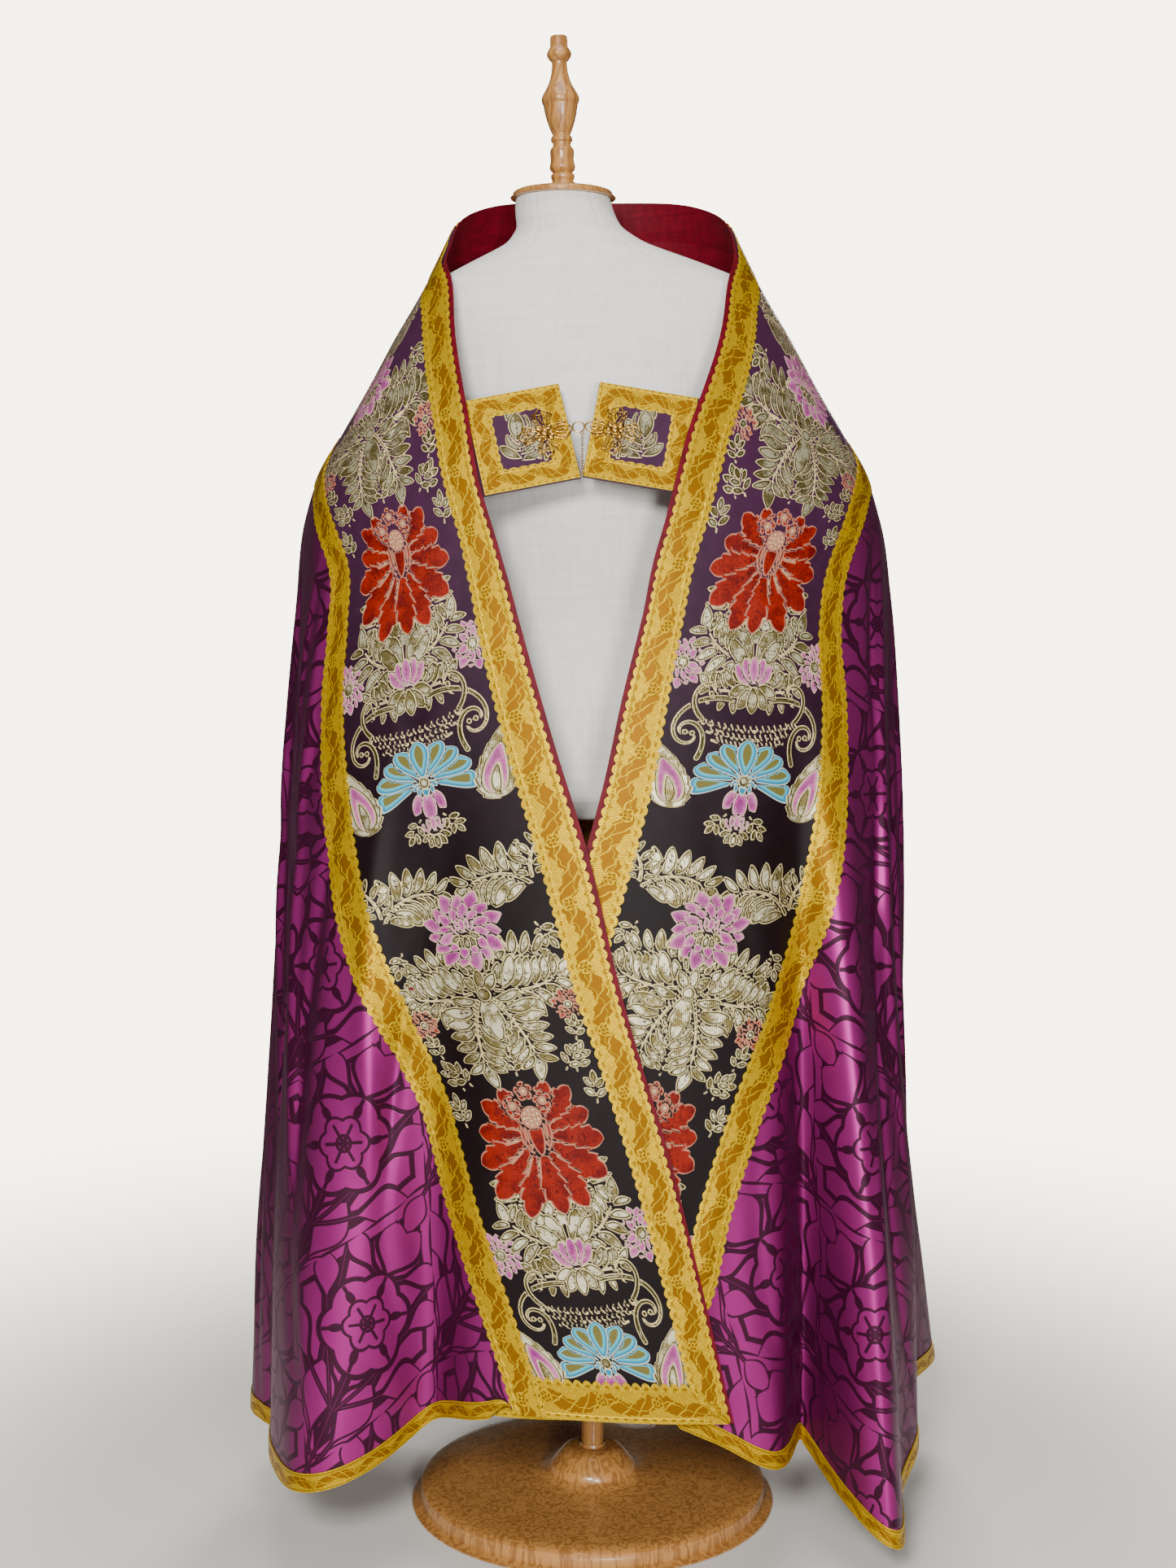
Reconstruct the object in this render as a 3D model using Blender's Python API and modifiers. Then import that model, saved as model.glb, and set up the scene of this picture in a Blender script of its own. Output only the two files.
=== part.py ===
"""Cope vestment on a limbless dress form.

A half-round cloak is worn open over a dress form, with its left front (seen from the front)
lying over the right one.  Each cloth piece is a thin wall on one shared draped surface, so
the pieces follow each other at the seams.  Metres, +Z up, front towards -Y.
The origin is the centre of the round base, on the floor.
"""

import math

import bmesh
import bpy
import numpy as np
from mathutils import Matrix, Vector
from mathutils.bvhtree import BVHTree

# Cloth thicknesses and gaps
CLOTH_THICKNESS = 0.0015
BAND_THICKNESS = 0.0018
GALLOON_THICKNESS = 0.0011
LINING_THICKNESS = 0.0010
LAYER_GAP = 0.0003
SEAM_GAP = 0.0005
LINING_LIP = 0.007
SEAM_GAP_LIMIT = 0.3
MERGE_DISTANCE = 0.00005
TURN_MERGE_DISTANCE = 0.0001
SMALLEST_LENGTH = 1e-9
SHARP_ANGLE = math.radians(40.0)

# Widths across the front band, from its free edge to the seam with the cloak
BAND_WIDTH = 0.285
GALLOON_WIDTH = 0.042
BAND_STEPS = (0.0, GALLOON_WIDTH, 0.112, 0.178, BAND_WIDTH - GALLOON_WIDTH, BAND_WIDTH)
HEM_GALLOON_WIDTH = 0.020
HEM_GALLOON_LIMIT = 0.4
BODY_STEPS = (0.14, 0.30, 0.46, 0.62, 0.77, 0.90)

# How far the upper front lies outside the lower one, and where that lift fades out
OVERLAP_LIFT = 0.015
LIFT_FULL_ANGLE = -58.0
LIFT_GONE_ANGLE = -78.0
FULL_TURN = 360.0

# Folds at the front move straight forward, and turn outward near the sides by this power
FRONT_TURN_POWER = 2.0

# How soon the lines down the cloak leave the seam's angle for the hem's
FAN_POWER = 2.5

# Folds deepen downwards by this power, and reach this share of their growth at the hem
FOLD_POWER = 1.3
FOLD_HEM_SHARE = 0.9

# Rings of the draped cloth: height, half width, depth to the front, depth to the back
RING_SIZES = (
    (0.00, 0.413, 0.272, 0.340),
    (0.34, 0.404, 0.258, 0.322),
    (0.64, 0.388, 0.243, 0.300),
    (0.95, 0.371, 0.228, 0.275),
    (1.10, 0.361, 0.220, 0.258),
    (1.20, 0.350, 0.211, 0.240),
    (1.25, 0.334, 0.203, 0.228),
    (1.30, 0.306, 0.192, 0.212),
    (1.36, 0.272, 0.175, 0.190),
    (1.42, 0.240, 0.150, 0.168),
    (1.47, 0.211, 0.125, 0.150),
    (1.52, 0.185, 0.095, 0.130),
    (1.56, 0.167, 0.075, 0.118),
    (1.60, 0.150, 0.060, 0.105),
    (1.64, 0.136, 0.050, 0.094),
)

# Folds that run down to the hem: name, angle in degrees (0 is the front centre, -90 the
# left side, -180 the back), spread in degrees, depth at the hem, height where it starts
FOLDS = (
    ("left_front_valley", -27.0, 7.0, -0.075, 0.90),
    ("left_front_lobe", -47.0, 11.0, 0.065, 1.15),
    ("left_side_valley", -74.0, 8.0, -0.020, 1.10),
    ("left_side_ridge", -97.0, 10.0, 0.012, 1.20),
    ("left_back_valley", -118.0, 9.0, -0.060, 1.10),
    ("left_back_ridge", -136.0, 9.0, 0.075, 1.20),
    ("back_left_valley", -154.0, 9.0, -0.055, 1.05),
    ("back_ridge", -172.0, 9.0, 0.060, 1.22),
    ("back_right_valley", -190.0, 9.0, -0.050, 1.10),
    ("back_right_ridge", -207.0, 9.0, 0.060, 1.15),
    ("right_back_valley", -221.0, 8.0, -0.050, 1.05),
    ("right_back_ridge", -238.0, 11.0, 0.115, 1.20),
    ("right_side_valley", -270.0, 12.0, -0.060, 1.10),
    ("right_front_ridge", -312.0, 7.0, 0.098, 1.05),
    ("right_front_valley", -321.5, 5.0, -0.100, 0.98),
    ("right_small_ridge", -331.0, 6.0, 0.010, 0.70),
)

# Left front, from its bottom corner up: distance across and height of its free edge, the
# same for the seam with the cloak, the angle of the hem below, and steps to the next row
LEFT_FRONT = (
    (0.150, 0.190, -0.087, 0.205, -12.5, 1),
    (0.140, 0.232, -0.100, 0.247, -16.0, 1),
    (0.118, 0.325, -0.123, 0.310, -20.0, 2),
    (0.081, 0.474, -0.162, 0.415, -25.0, 2),
    (0.046, 0.590, -0.198, 0.535, -30.0, 2),
    (0.021, 0.676, -0.240, 0.622, -36.0, 2),
    (-0.011, 0.810, -0.279, 0.725, -43.0, 2),
    (-0.052, 0.943, -0.301, 0.860, -51.0, 2),
    (-0.086, 1.063, -0.306, 0.975, -60.0, 2),
    (-0.105, 1.135, -0.300, 1.060, -70.0, 2),
    (-0.126, 1.205, -0.300, 1.140, -79.0, 2),
    (-0.150, 1.325, -0.327, 1.212, -87.0, 2),
)

# Right front, from its bottom corner up, with the same columns
RIGHT_FRONT = (
    (-0.155, 0.195, 0.070, 0.195, -350.2, 1),
    (-0.145, 0.237, 0.088, 0.235, -346.5, 1),
    (-0.118, 0.345, 0.132, 0.325, -340.5, 2),
    (-0.085, 0.485, 0.154, 0.415, -336.5, 2),
    (-0.053, 0.605, 0.190, 0.520, -332.0, 3),
    (-0.030, 0.700, 0.232, 0.622, -326.0, 3),
    (-0.004, 0.804, 0.270, 0.740, -319.5, 3),
    (0.020, 0.895, 0.288, 0.860, -313.0, 3),
    (0.040, 0.989, 0.292, 0.975, -306.0, 3),
    (0.062, 1.080, 0.287, 1.065, -298.0, 2),
    (0.083, 1.171, 0.300, 1.145, -288.0, 2),
    (0.120, 1.305, 0.327, 1.212, -278.0, 2),
)

# Neck, from the left shoulder round the back: angle and height of the free edge, the same
# for the seam, the angle of the hem below, and steps to the next row
NECK_LEFT = (
    (-50.0, 1.460, -88.0, 1.250, -96.0, 2),
    (-68.0, 1.510, -98.0, 1.268, -106.0, 2),
    (-90.0, 1.553, -112.0, 1.287, -119.0, 3),
    (-112.0, 1.578, -128.0, 1.305, -134.0, 3),
    (-140.0, 1.595, -150.0, 1.320, -156.0, 4),
    (-180.0, 1.600, -180.0, 1.330, -180.0, 4),
)
NECK_RIGHT = (
    (-220.0, 1.595, -210.0, 1.320, -205.0, 3),
    (-248.0, 1.578, -232.0, 1.305, -226.0, 3),
    (-270.0, 1.553, -248.0, 1.287, -243.0, 3),
    (-292.0, 1.510, -262.0, 1.268, -256.0, 2),
    (-312.0, 1.455, -272.0, 1.250, -268.0, 2),
)

# Height of the hem by angle
HEM_HEIGHTS = (
    (-350.2, 0.195),
    (-341.0, 0.165),
    (-331.0, 0.130),
    (-321.0, 0.115),
    (-317.0, 0.085),
    (-312.0, 0.058),
    (-303.0, 0.060),
    (-292.0, 0.085),
    (-268.0, 0.100),
    (-235.0, 0.095),
    (-180.0, 0.098),
    (-125.0, 0.102),
    (-90.0, 0.108),
    (-62.0, 0.105),
    (-47.0, 0.112),
    (-34.0, 0.140),
    (-24.0, 0.175),
    (-12.5, 0.205),
)

# Panels of the cloak, the seams between them as rows of the joined station table, and the
# row of the centre back
CLOAK_PANELS = ("cloak_left", "cloak_left_side", "cloak_back", "cloak_right_side", "cloak_right")
CLOAK_SEAM_ROWS = (12, 15, 19, 22)
BACK_ROW = 17

# Dress form: rings of height, half width and half depth, with the neck moved sideways
FORM_SIDES = 28
FORM_RINGS = (
    (0.800, 0.060, 0.045),
    (0.806, 0.135, 0.100),
    (0.830, 0.158, 0.117),
    (0.920, 0.166, 0.122),
    (1.060, 0.143, 0.104),
    (1.200, 0.165, 0.118),
    (1.310, 0.190, 0.122),
    (1.385, 0.208, 0.108),
    (1.425, 0.214, 0.092),
    (1.455, 0.196, 0.078),
    (1.480, 0.140, 0.070),
    (1.502, 0.086, 0.064),
    (1.522, 0.064, 0.060),
    (1.558, 0.058, 0.058),
)
NECK_SHIFT_START = 1.44
NECK_SHIFT = -0.036
NECK_LEAN = math.radians(1.7)
SEAT_GAP = 0.0005
SEAT_SEARCH = 0.08
SEAT_ATTEMPTS = 16

# Turned wood above the neck: radius and height over the neck cap's underside
CAP_PROFILE = (
    (0.0, 0.0), (0.060, 0.0), (0.062, 0.003), (0.058, 0.009), (0.030, 0.013), (0.0, 0.013),
)
FINIAL_PROFILE = (
    (0.0000, 0.0000), (0.0150, 0.0000), (0.0150, 0.0060), (0.0130, 0.0080), (0.0145, 0.0120),
    (0.0145, 0.0160), (0.0120, 0.0180), (0.0150, 0.0220), (0.0160, 0.0260), (0.0145, 0.0340),
    (0.0150, 0.0440), (0.0140, 0.0480), (0.0115, 0.0510), (0.0115, 0.0555), (0.0135, 0.0580),
    (0.0130, 0.0620), (0.0110, 0.0650), (0.0140, 0.0720), (0.0190, 0.0880), (0.0215, 0.1020),
    (0.0225, 0.1040), (0.0235, 0.1080), (0.0225, 0.1130), (0.0180, 0.1210), (0.0135, 0.1300),
    (0.0105, 0.1420), (0.0095, 0.1540), (0.0120, 0.1570), (0.0150, 0.1620), (0.0150, 0.1660),
    (0.0125, 0.1710), (0.0110, 0.1740), (0.0108, 0.1830), (0.0090, 0.1870), (0.0, 0.1880),
)
WOOD_SIDES = 12

# Stand
POLE_RADIUS = 0.015
POLE_SIDES = 16
BASE_PROFILE = (
    (0.0, 0.0), (0.205, 0.0), (0.210, 0.006), (0.208, 0.018), (0.196, 0.026), (0.070, 0.030),
    (0.050, 0.044), (0.030, 0.062), (0.0, 0.062),
)
BASE_SIDES = 32

# Fastening across the chest: it lies on a plane through the two front edges, set back.
# Panels: width, centre across and height, and tilt in that plane
CHEST_LOW = 1.235
CHEST_HIGH = 1.335
CHEST_SETBACK = 0.0085
PANELS = {
    "left": (0.112, -0.0812, 1.2839, math.radians(11.8)),
    "right": (0.116, 0.0552, 1.2869, math.radians(-10.2)),
}
PANEL_HEIGHT = 0.121
PANEL_THICKNESS = 0.0024
PANEL_FRAME = 0.027
TAB_WIDTH = 0.022
TAB_END = 0.008

# Clasps: centre across and height, tilt, and length of the arm towards the link
CLASPS = {
    "left": (-0.0553, 1.2903, math.radians(11.0), 0.0320),
    "right": (0.0253, 1.2940, math.radians(-9.0), 0.0345),
}
CLASP_ARM = 0.0300
CLASP_BODY = 0.0100
CLASP_CURL = 0.0060
CLASP_CURL_ANGLE = math.radians(30.0)
CLASP_CURL_SPREAD = math.radians(7.0)
CLASP_ARM_SPREAD = math.radians(14.0)
CLASP_POINTS = 64
CLASP_HOLE_RADIUS = 0.0030
CLASP_HOLE_INSET = 0.0062
CLASP_HOLE_POINTS = 8
CLASP_THICKNESS = 0.0016
STONE_PROFILE = ((0.0, 0.0), (0.0062, 0.0), (0.0062, 0.0012), (0.0045, 0.0028), (0.0, 0.0036))
STONE_SIDES = 12
LINK_WIRE = 0.0008
LINK_SIDES = 16
LINK_WIRE_SIDES = 6
CHAIN_LENGTH = 0.054
CHAIN_BEADS = 10
CHAIN_RADIUS = 0.0019
CHAIN_WAIST = 0.0010
CHAIN_BEAD_STEPS = ((0.1, CHAIN_WAIST), (0.4, CHAIN_RADIUS), (0.7, CHAIN_RADIUS))
CHAIN_SIDES = 6
CHAIN_SIDE_STEP = 0.0040

COLOURS = {
    "damask": ((0.20, 0.02, 0.14, 1.0), 0.42, 0.0),
    "brocade": ((0.05, 0.02, 0.045, 1.0), 0.50, 0.0),
    "galloon": ((0.83, 0.50, 0.04, 1.0), 0.45, 0.10),
    "lining": ((0.27, 0.004, 0.03, 1.0), 0.55, 0.0),
    "linen": ((0.80, 0.77, 0.70, 1.0), 0.85, 0.0),
    "wood": ((0.68, 0.37, 0.13, 1.0), 0.35, 0.0),
    "gilt": ((0.80, 0.50, 0.22, 1.0), 0.30, 1.0),
}


def clear_scene():
    """Remove every object that the scene starts with."""
    for item in list(bpy.data.objects):
        bpy.data.objects.remove(item, do_unlink=True)


def make_material(name):
    """Return the Principled material of that name, made once."""
    material = bpy.data.materials.get(name)
    if material is None:
        colour, roughness, metallic = COLOURS[name]
        material = bpy.data.materials.new(name)
        material.use_nodes = True
        shader = material.node_tree.nodes["Principled BSDF"]
        shader.inputs["Base Color"].default_value = colour
        shader.inputs["Roughness"].default_value = roughness
        shader.inputs["Metallic"].default_value = metallic
        material.diffuse_color = colour
    return material


def smooth_lookup(table, column, where):
    """Read a column of a table at the values where, smoothly between the rows."""
    rows = np.asarray(table, dtype=float)
    keys = rows[:, 0]
    values = rows[:, column]
    slopes = np.gradient(values, keys)
    where = np.clip(where, keys[0], keys[-1])
    index = np.clip(np.searchsorted(keys, where) - 1, 0, len(keys) - 2)
    span = keys[index + 1] - keys[index]
    part = (where - keys[index]) / span
    ease = part * part * (3.0 - 2.0 * part)
    rise = part * (1.0 - part) ** 2 * span * slopes[index]
    fall = part * part * (1.0 - part) * span * slopes[index + 1]
    return values[index] * (1.0 - ease) + values[index + 1] * ease + rise - fall


def smooth_rows(table):
    """Return the stations of a table whose last column counts the steps to the next row."""
    rows = np.asarray(table, dtype=float)
    values = rows[:, :-1]
    padded = np.vstack([2.0 * values[0] - values[1], values, 2.0 * values[-1] - values[-2]])
    stations = []
    starts = []
    for row in range(len(rows) - 1):
        before, first, second, after = padded[row:row + 4]
        steps = int(rows[row, -1])
        starts.append(len(stations))
        for step in range(steps):
            part = step / steps
            stations.append(0.5 * (
                2.0 * first
                + (second - before) * part
                + (2.0 * before - 5.0 * first + 4.0 * second - after) * part ** 2
                + (3.0 * first - before - 3.0 * second + after) * part ** 3
            ))
    starts.append(len(stations))
    stations.append(values[-1])
    return np.array(stations), starts


def angle_across(across, height):
    """Return the ring angle of a front point from its distance across."""
    return math.degrees(math.asin(across / float(smooth_lookup(RING_SIZES, 1, height))))


def joined_table():
    """Join the two fronts and the neck into one table of ring angles and heights."""
    table = []
    for edge_x, edge_z, seam_x, seam_z, hem, steps in LEFT_FRONT:
        edge = angle_across(edge_x, edge_z)
        table.append((edge, edge_z, angle_across(seam_x, seam_z), seam_z, hem, steps))
    table.extend(NECK_LEFT)
    table.extend(NECK_RIGHT)
    right_steps = [RIGHT_FRONT[0][-1]] + [row[-1] for row in RIGHT_FRONT[:-1]]
    for row, steps in zip(reversed(RIGHT_FRONT), reversed(right_steps)):
        edge_x, edge_z, seam_x, seam_z, hem = row[:-1]
        table.append((
            angle_across(edge_x, edge_z) - FULL_TURN, edge_z,
            angle_across(seam_x, seam_z) - FULL_TURN, seam_z, hem, steps,
        ))
    return table


def fold_depth(angle, height):
    """Return how far the folds move the cloth out at that angle and height."""
    total = np.zeros_like(angle)
    for _name, centre, spread, depth, top in FOLDS:
        away = (angle - centre + FULL_TURN / 2.0) % FULL_TURN - FULL_TURN / 2.0
        growth = np.clip((top - height) / top, 0.0, 1.0)
        total += depth * growth ** FOLD_POWER * np.exp(-(away / spread) ** 2) / FOLD_HEM_SHARE
    return total


def cloth_points(angle, height, lifted):
    """Return points of the draped surface, moved out by the folds and the overlap."""
    width = smooth_lookup(RING_SIZES, 1, height)
    front = smooth_lookup(RING_SIZES, 2, height)
    back = smooth_lookup(RING_SIZES, 3, height)
    turn = np.radians(angle)
    depth = np.where(np.cos(turn) > 0.0, front, back)
    around = (turn + math.pi) % (2.0 * math.pi) - math.pi
    quarter = math.pi / 2.0
    ahead = np.minimum(np.abs(around) / quarter, 1.0) ** FRONT_TURN_POWER
    out = np.where(np.abs(around) < quarter, around * ahead, around)
    move = fold_depth(angle, height) + lifted
    return np.stack([
        width * np.sin(turn) + move * np.sin(out),
        -depth * np.cos(turn) - move * np.cos(out),
        height,
    ], axis=-1)


def overlap_lift(angle):
    """Return the extra distance out of the upper, left front."""
    part = np.clip((angle - LIFT_GONE_ANGLE) / (LIFT_FULL_ANGLE - LIFT_GONE_ANGLE), 0.0, 1.0)
    return OVERLAP_LIFT * part * part * (3.0 - 2.0 * part)


def draped_grid():
    """Return the cloth's points by station and row, and the first station of each table row."""
    stations, starts = smooth_rows(joined_table())
    edge_angle, edge_z, seam_angle, seam_z, hem_angle = stations.T
    hem_angle[[0, -1]] = seam_angle[[0, -1]]
    hem_z = np.minimum(smooth_lookup(HEM_HEIGHTS, 1, hem_angle), seam_z)
    hem_z[[0, -1]] = seam_z[[0, -1]]
    drop = seam_z - hem_z
    angles = []
    heights = []
    for across in BAND_STEPS:
        part = across / BAND_WIDTH
        angles.append(edge_angle * (1.0 - part) + seam_angle * part)
        heights.append(edge_z * (1.0 - part) + seam_z * part)
    hem_width = np.minimum(HEM_GALLOON_WIDTH, HEM_GALLOON_LIMIT * drop)
    hem_part = 1.0 - hem_width / np.maximum(drop, SEAM_GAP)
    shares = []
    for part in BODY_STEPS:
        shares.append(part * hem_part)
    for share in shares + [hem_part, np.ones_like(drop)]:
        fan = 1.0 - (1.0 - share) ** FAN_POWER
        angles.append(seam_angle * (1.0 - fan) + hem_angle * fan)
        heights.append(seam_z - drop * share)
    angle = np.stack(angles, axis=1)
    height = np.stack(heights, axis=1)
    return cloth_points(angle, height, overlap_lift(angle)), starts


def grid_normals(points):
    """Return the outward unit normals of a grid of points."""
    along = np.gradient(points, axis=0)
    across = np.gradient(points, axis=1)
    normal = np.cross(along, across)
    length = np.linalg.norm(normal, axis=-1, keepdims=True)
    normal = normal / np.maximum(length, SMALLEST_LENGTH)
    normal[0, len(BAND_STEPS) - 1:] = normal[0, len(BAND_STEPS) - 2]
    normal[-1, len(BAND_STEPS) - 1:] = normal[-1, len(BAND_STEPS) - 2]
    return normal


def pull_in(points, axis, at_start, at_end):
    """Move a grid's first and last lines along an axis inwards, to leave a seam gap."""
    moved = np.moveaxis(points.copy(), axis, 0)
    for line, inner, distance in ((0, 1, at_start), (-1, -2, at_end)):
        step = moved[inner] - moved[line]
        length = np.maximum(np.linalg.norm(step, axis=-1, keepdims=True), SMALLEST_LENGTH)
        moved[line] = moved[line] + step / length * np.minimum(distance, SEAM_GAP_LIMIT * length)
    return np.moveaxis(moved, 0, axis)


def add_mesh_object(name, mesh, material_name, collection):
    """Link a mesh as a named object with its material."""
    mesh.name = name
    item = bpy.data.objects.new(name, mesh)
    item.data.materials.append(make_material(material_name))
    collection.objects.link(item)
    return item


def wall_faces(lines, rows, mirror_from):
    """Return the triangles of a closed wall over a grid of lines by rows.

    The outer side's corners come first and the inner side's after them.  Layers on one grid
    cut each quad along the same diagonal, mirrored from one line on, so they stay parallel.
    """
    inner = lines * rows
    faces = []
    for line in range(lines - 1):
        for row in range(rows - 1):
            a = line * rows + row
            b = a + rows
            c = b + 1
            d = a + 1
            halves = [(a, b, c), (a, c, d)] if line < mirror_from else [(a, b, d), (b, c, d)]
            for corners in halves:
                faces.append(corners)
                faces.append(tuple(inner + corner for corner in reversed(corners)))
    rim = [line * rows for line in range(lines)]
    rim += [(lines - 1) * rows + row for row in range(1, rows)]
    rim += [line * rows + rows - 1 for line in range(lines - 2, -1, -1)]
    rim += [row for row in range(rows - 2, 0, -1)]
    for first, second in zip(rim, rim[1:] + rim[:1]):
        faces += [(second, first, inner + first), (second, inner + first, inner + second)]
    return faces


def add_cloth(name, points, normals, levels, material_name, collection, mirror_from):
    """Make a cloth piece: a closed wall between two levels above a grid of points.

    Neighbouring pieces share their grid's normals, so the walls stay parallel at a seam.
    """
    lines, rows = points.shape[:2]
    outer = (points + normals * levels[1]).reshape(-1, 3)
    inner = (points + normals * levels[0]).reshape(-1, 3)
    mesh = bpy.data.meshes.new(name)
    mesh.from_pydata(np.vstack([outer, inner]).tolist(), [], wall_faces(lines, rows, mirror_from))
    shape = bmesh.new()
    shape.from_mesh(mesh)
    bmesh.ops.remove_doubles(shape, verts=shape.verts, dist=MERGE_DISTANCE)
    bmesh.ops.dissolve_degenerate(shape, dist=MERGE_DISTANCE, edges=shape.edges)
    shape.to_mesh(mesh)
    shape.free()
    mesh.shade_smooth()
    mesh.set_sharp_from_angle(angle=SHARP_ANGLE)
    return add_mesh_object(name, mesh, material_name, collection)


def add_garment(points, normals, starts, collection):
    """Make the cloak and its bands from the draped grid, and what lies on and under them."""
    seam = len(BAND_STEPS) - 1
    half_gap = SEAM_GAP / 2.0
    middle = starts[BACK_ROW]
    last_line = len(points) - 1
    cuts = [0] + [starts[row] for row in CLOAK_SEAM_ROWS] + [last_line]
    cloak = [(name, first, last, slice(seam, None), half_gap, 0.0) for name, first, last in zip(
        CLOAK_PANELS, cuts, cuts[1:])]
    bands = [(name, first, last, slice(0, seam + 1), 0.0, half_gap) for name, first, last in zip(
        ("band_left", "band_right"), (0, middle), (middle, last_line))]
    for name, first, last, rows, top_gap, low_gap in cloak + bands:
        lines = slice(first, last + 1)
        piece = pull_in(points[lines, rows], 1, top_gap, low_gap)
        piece = pull_in(piece, 0, half_gap if first else 0.0, half_gap if last < last_line else 0.0)
        is_band = name.startswith("band")
        thickness = BAND_THICKNESS if is_band else CLOTH_THICKNESS
        cloth = "brocade" if is_band else "damask"
        levels = (0.0, thickness)
        add_cloth(name, piece, normals[lines, rows], levels, cloth, collection, middle - first)
    add_lining(points, normals, middle, collection)
    add_galloons(points, normals, middle, collection)


def add_lining(points, normals, middle, collection):
    """Make the lining behind all outer pieces, a little past the front edges."""
    outward = points[:, 0] - points[:, 1]
    outward = outward / np.linalg.norm(outward, axis=-1, keepdims=True)
    lip = points[:, 0] + outward * LINING_LIP
    piece = np.concatenate([lip[:, None], points], axis=1)
    facing = np.concatenate([normals[:, :1], normals], axis=1)
    levels = (-LAYER_GAP - LINING_THICKNESS, -LAYER_GAP)
    add_cloth("lining", piece, facing, levels, "lining", collection, middle)


def add_galloons(points, normals, middle, collection):
    """Make the woven trims: along the free edge, the seam, the bottoms and the hem."""
    inner = len(BAND_STEPS) - 2
    levels = (BAND_THICKNESS + LAYER_GAP, BAND_THICKNESS + LAYER_GAP + GALLOON_THICKNESS)
    edge = points[:, :2].copy()
    edge[0, 1] = edge[0, 0]
    edge[-1, 1] = edge[-1, 0]
    add_cloth("galloon_edge", edge, normals[:, :2], levels, "galloon", collection, middle)
    seam = slice(inner, inner + 2)
    add_cloth("galloon_seam", points[:, seam], normals[:, seam], levels, "galloon", collection, middle)
    for name, lines, corner, mirror_from in (
        ("galloon_bottom_left", [0, 1], 0, middle), ("galloon_bottom_right", [-2, -1], 1, 0),
    ):
        piece = points[lines, :inner + 1]
        facing = normals[lines, :inner + 1].copy()
        step = piece[corner, 1] - piece[corner, 0]
        tip = piece[corner, 0] + step / np.linalg.norm(step) * SEAM_GAP * 2.0
        upper = 1 - corner
        down = piece[corner] - piece[upper]
        piece[upper] += down / np.linalg.norm(down, axis=-1, keepdims=True) * SEAM_GAP
        piece[:, 0] = tip
        facing[:, 0] = normals[lines[corner], 0]
        piece = pull_in(piece, 1, 0.0, SEAM_GAP)
        add_cloth(name, piece, facing, levels, "galloon", collection, mirror_from)
    levels = (CLOTH_THICKNESS + LAYER_GAP, CLOTH_THICKNESS + LAYER_GAP + GALLOON_THICKNESS)
    hem = (slice(1, -1), slice(-2, None))
    add_cloth("galloon_hem", points[hem], normals[hem], levels, "galloon", collection, middle - 1)


def turned(name, profile, sides, material_name, collection):
    """Make a turned solid from a profile of radius and height."""
    mesh = bpy.data.meshes.new(name)
    shape = bmesh.new()
    corners = [shape.verts.new((radius, 0.0, height)) for radius, height in reversed(profile)]
    for first, second in zip(corners, corners[1:]):
        shape.edges.new((first, second))
    shape.to_mesh(mesh)
    shape.free()
    item = add_mesh_object(name, mesh, material_name, collection)
    screw = item.modifiers.new("turn", "SCREW")
    screw.steps = sides
    screw.render_steps = sides
    screw.use_merge_vertices = True
    screw.merge_threshold = TURN_MERGE_DISTANCE
    screw.use_smooth_shade = True
    return item


def form_ring(height, half_width, half_depth, lift):
    """Return one ring of the dress form, with the neck moved sideways as it rises."""
    part = min(max((height - NECK_SHIFT_START) / (FORM_RINGS[-1][0] - NECK_SHIFT_START), 0.0), 1.0)
    centre = NECK_SHIFT * part * part * (3.0 - 2.0 * part)
    ring = []
    for side in range(FORM_SIDES):
        turn = 2.0 * math.pi * side / FORM_SIDES
        x = centre + half_width * math.cos(turn)
        ring.append(Vector((x, half_depth * math.sin(turn), height + lift)))
    return ring


def form_faces():
    """Return the dress form's faces as corner numbers, ring by ring."""
    faces = []
    for ring in range(len(FORM_RINGS) - 1):
        for side in range(FORM_SIDES):
            after = (side + 1) % FORM_SIDES
            low = ring * FORM_SIDES
            high = low + FORM_SIDES
            faces.append((low + side, low + after, high + after, high + side))
    faces.append(tuple(reversed(range(FORM_SIDES))))
    top = (len(FORM_RINGS) - 1) * FORM_SIDES
    faces.append(tuple(range(top, top + FORM_SIDES)))
    return faces


def form_points(lift):
    """Return the dress form's corners, ring by ring, raised by lift."""
    return [point for sizes in FORM_RINGS for point in form_ring(*sizes, lift)]


def slide_to_seat(make_points, faces, cloth, search):
    """Return the farthest slide that still keeps a body clear of the cloth.

    make_points gives the body's corners for a slide; search is the shortest and the longest.
    """
    cloth_corners = [vertex.co for vertex in cloth.data.vertices]
    cloth_tree = BVHTree.FromPolygons(cloth_corners, [face.vertices for face in cloth.data.polygons])
    low, high = search
    for _attempt in range(SEAT_ATTEMPTS):
        middle = (low + high) / 2.0
        corners = make_points(middle)
        body_tree = BVHTree.FromPolygons(corners, faces)
        gaps = [cloth_tree.find_nearest(point)[3] for point in corners]
        gaps += [body_tree.find_nearest(point)[3] for point in cloth_corners]
        if min(gaps) > SEAT_GAP and not cloth_tree.overlap(body_tree):
            low = middle
        else:
            high = middle
    return low


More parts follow.
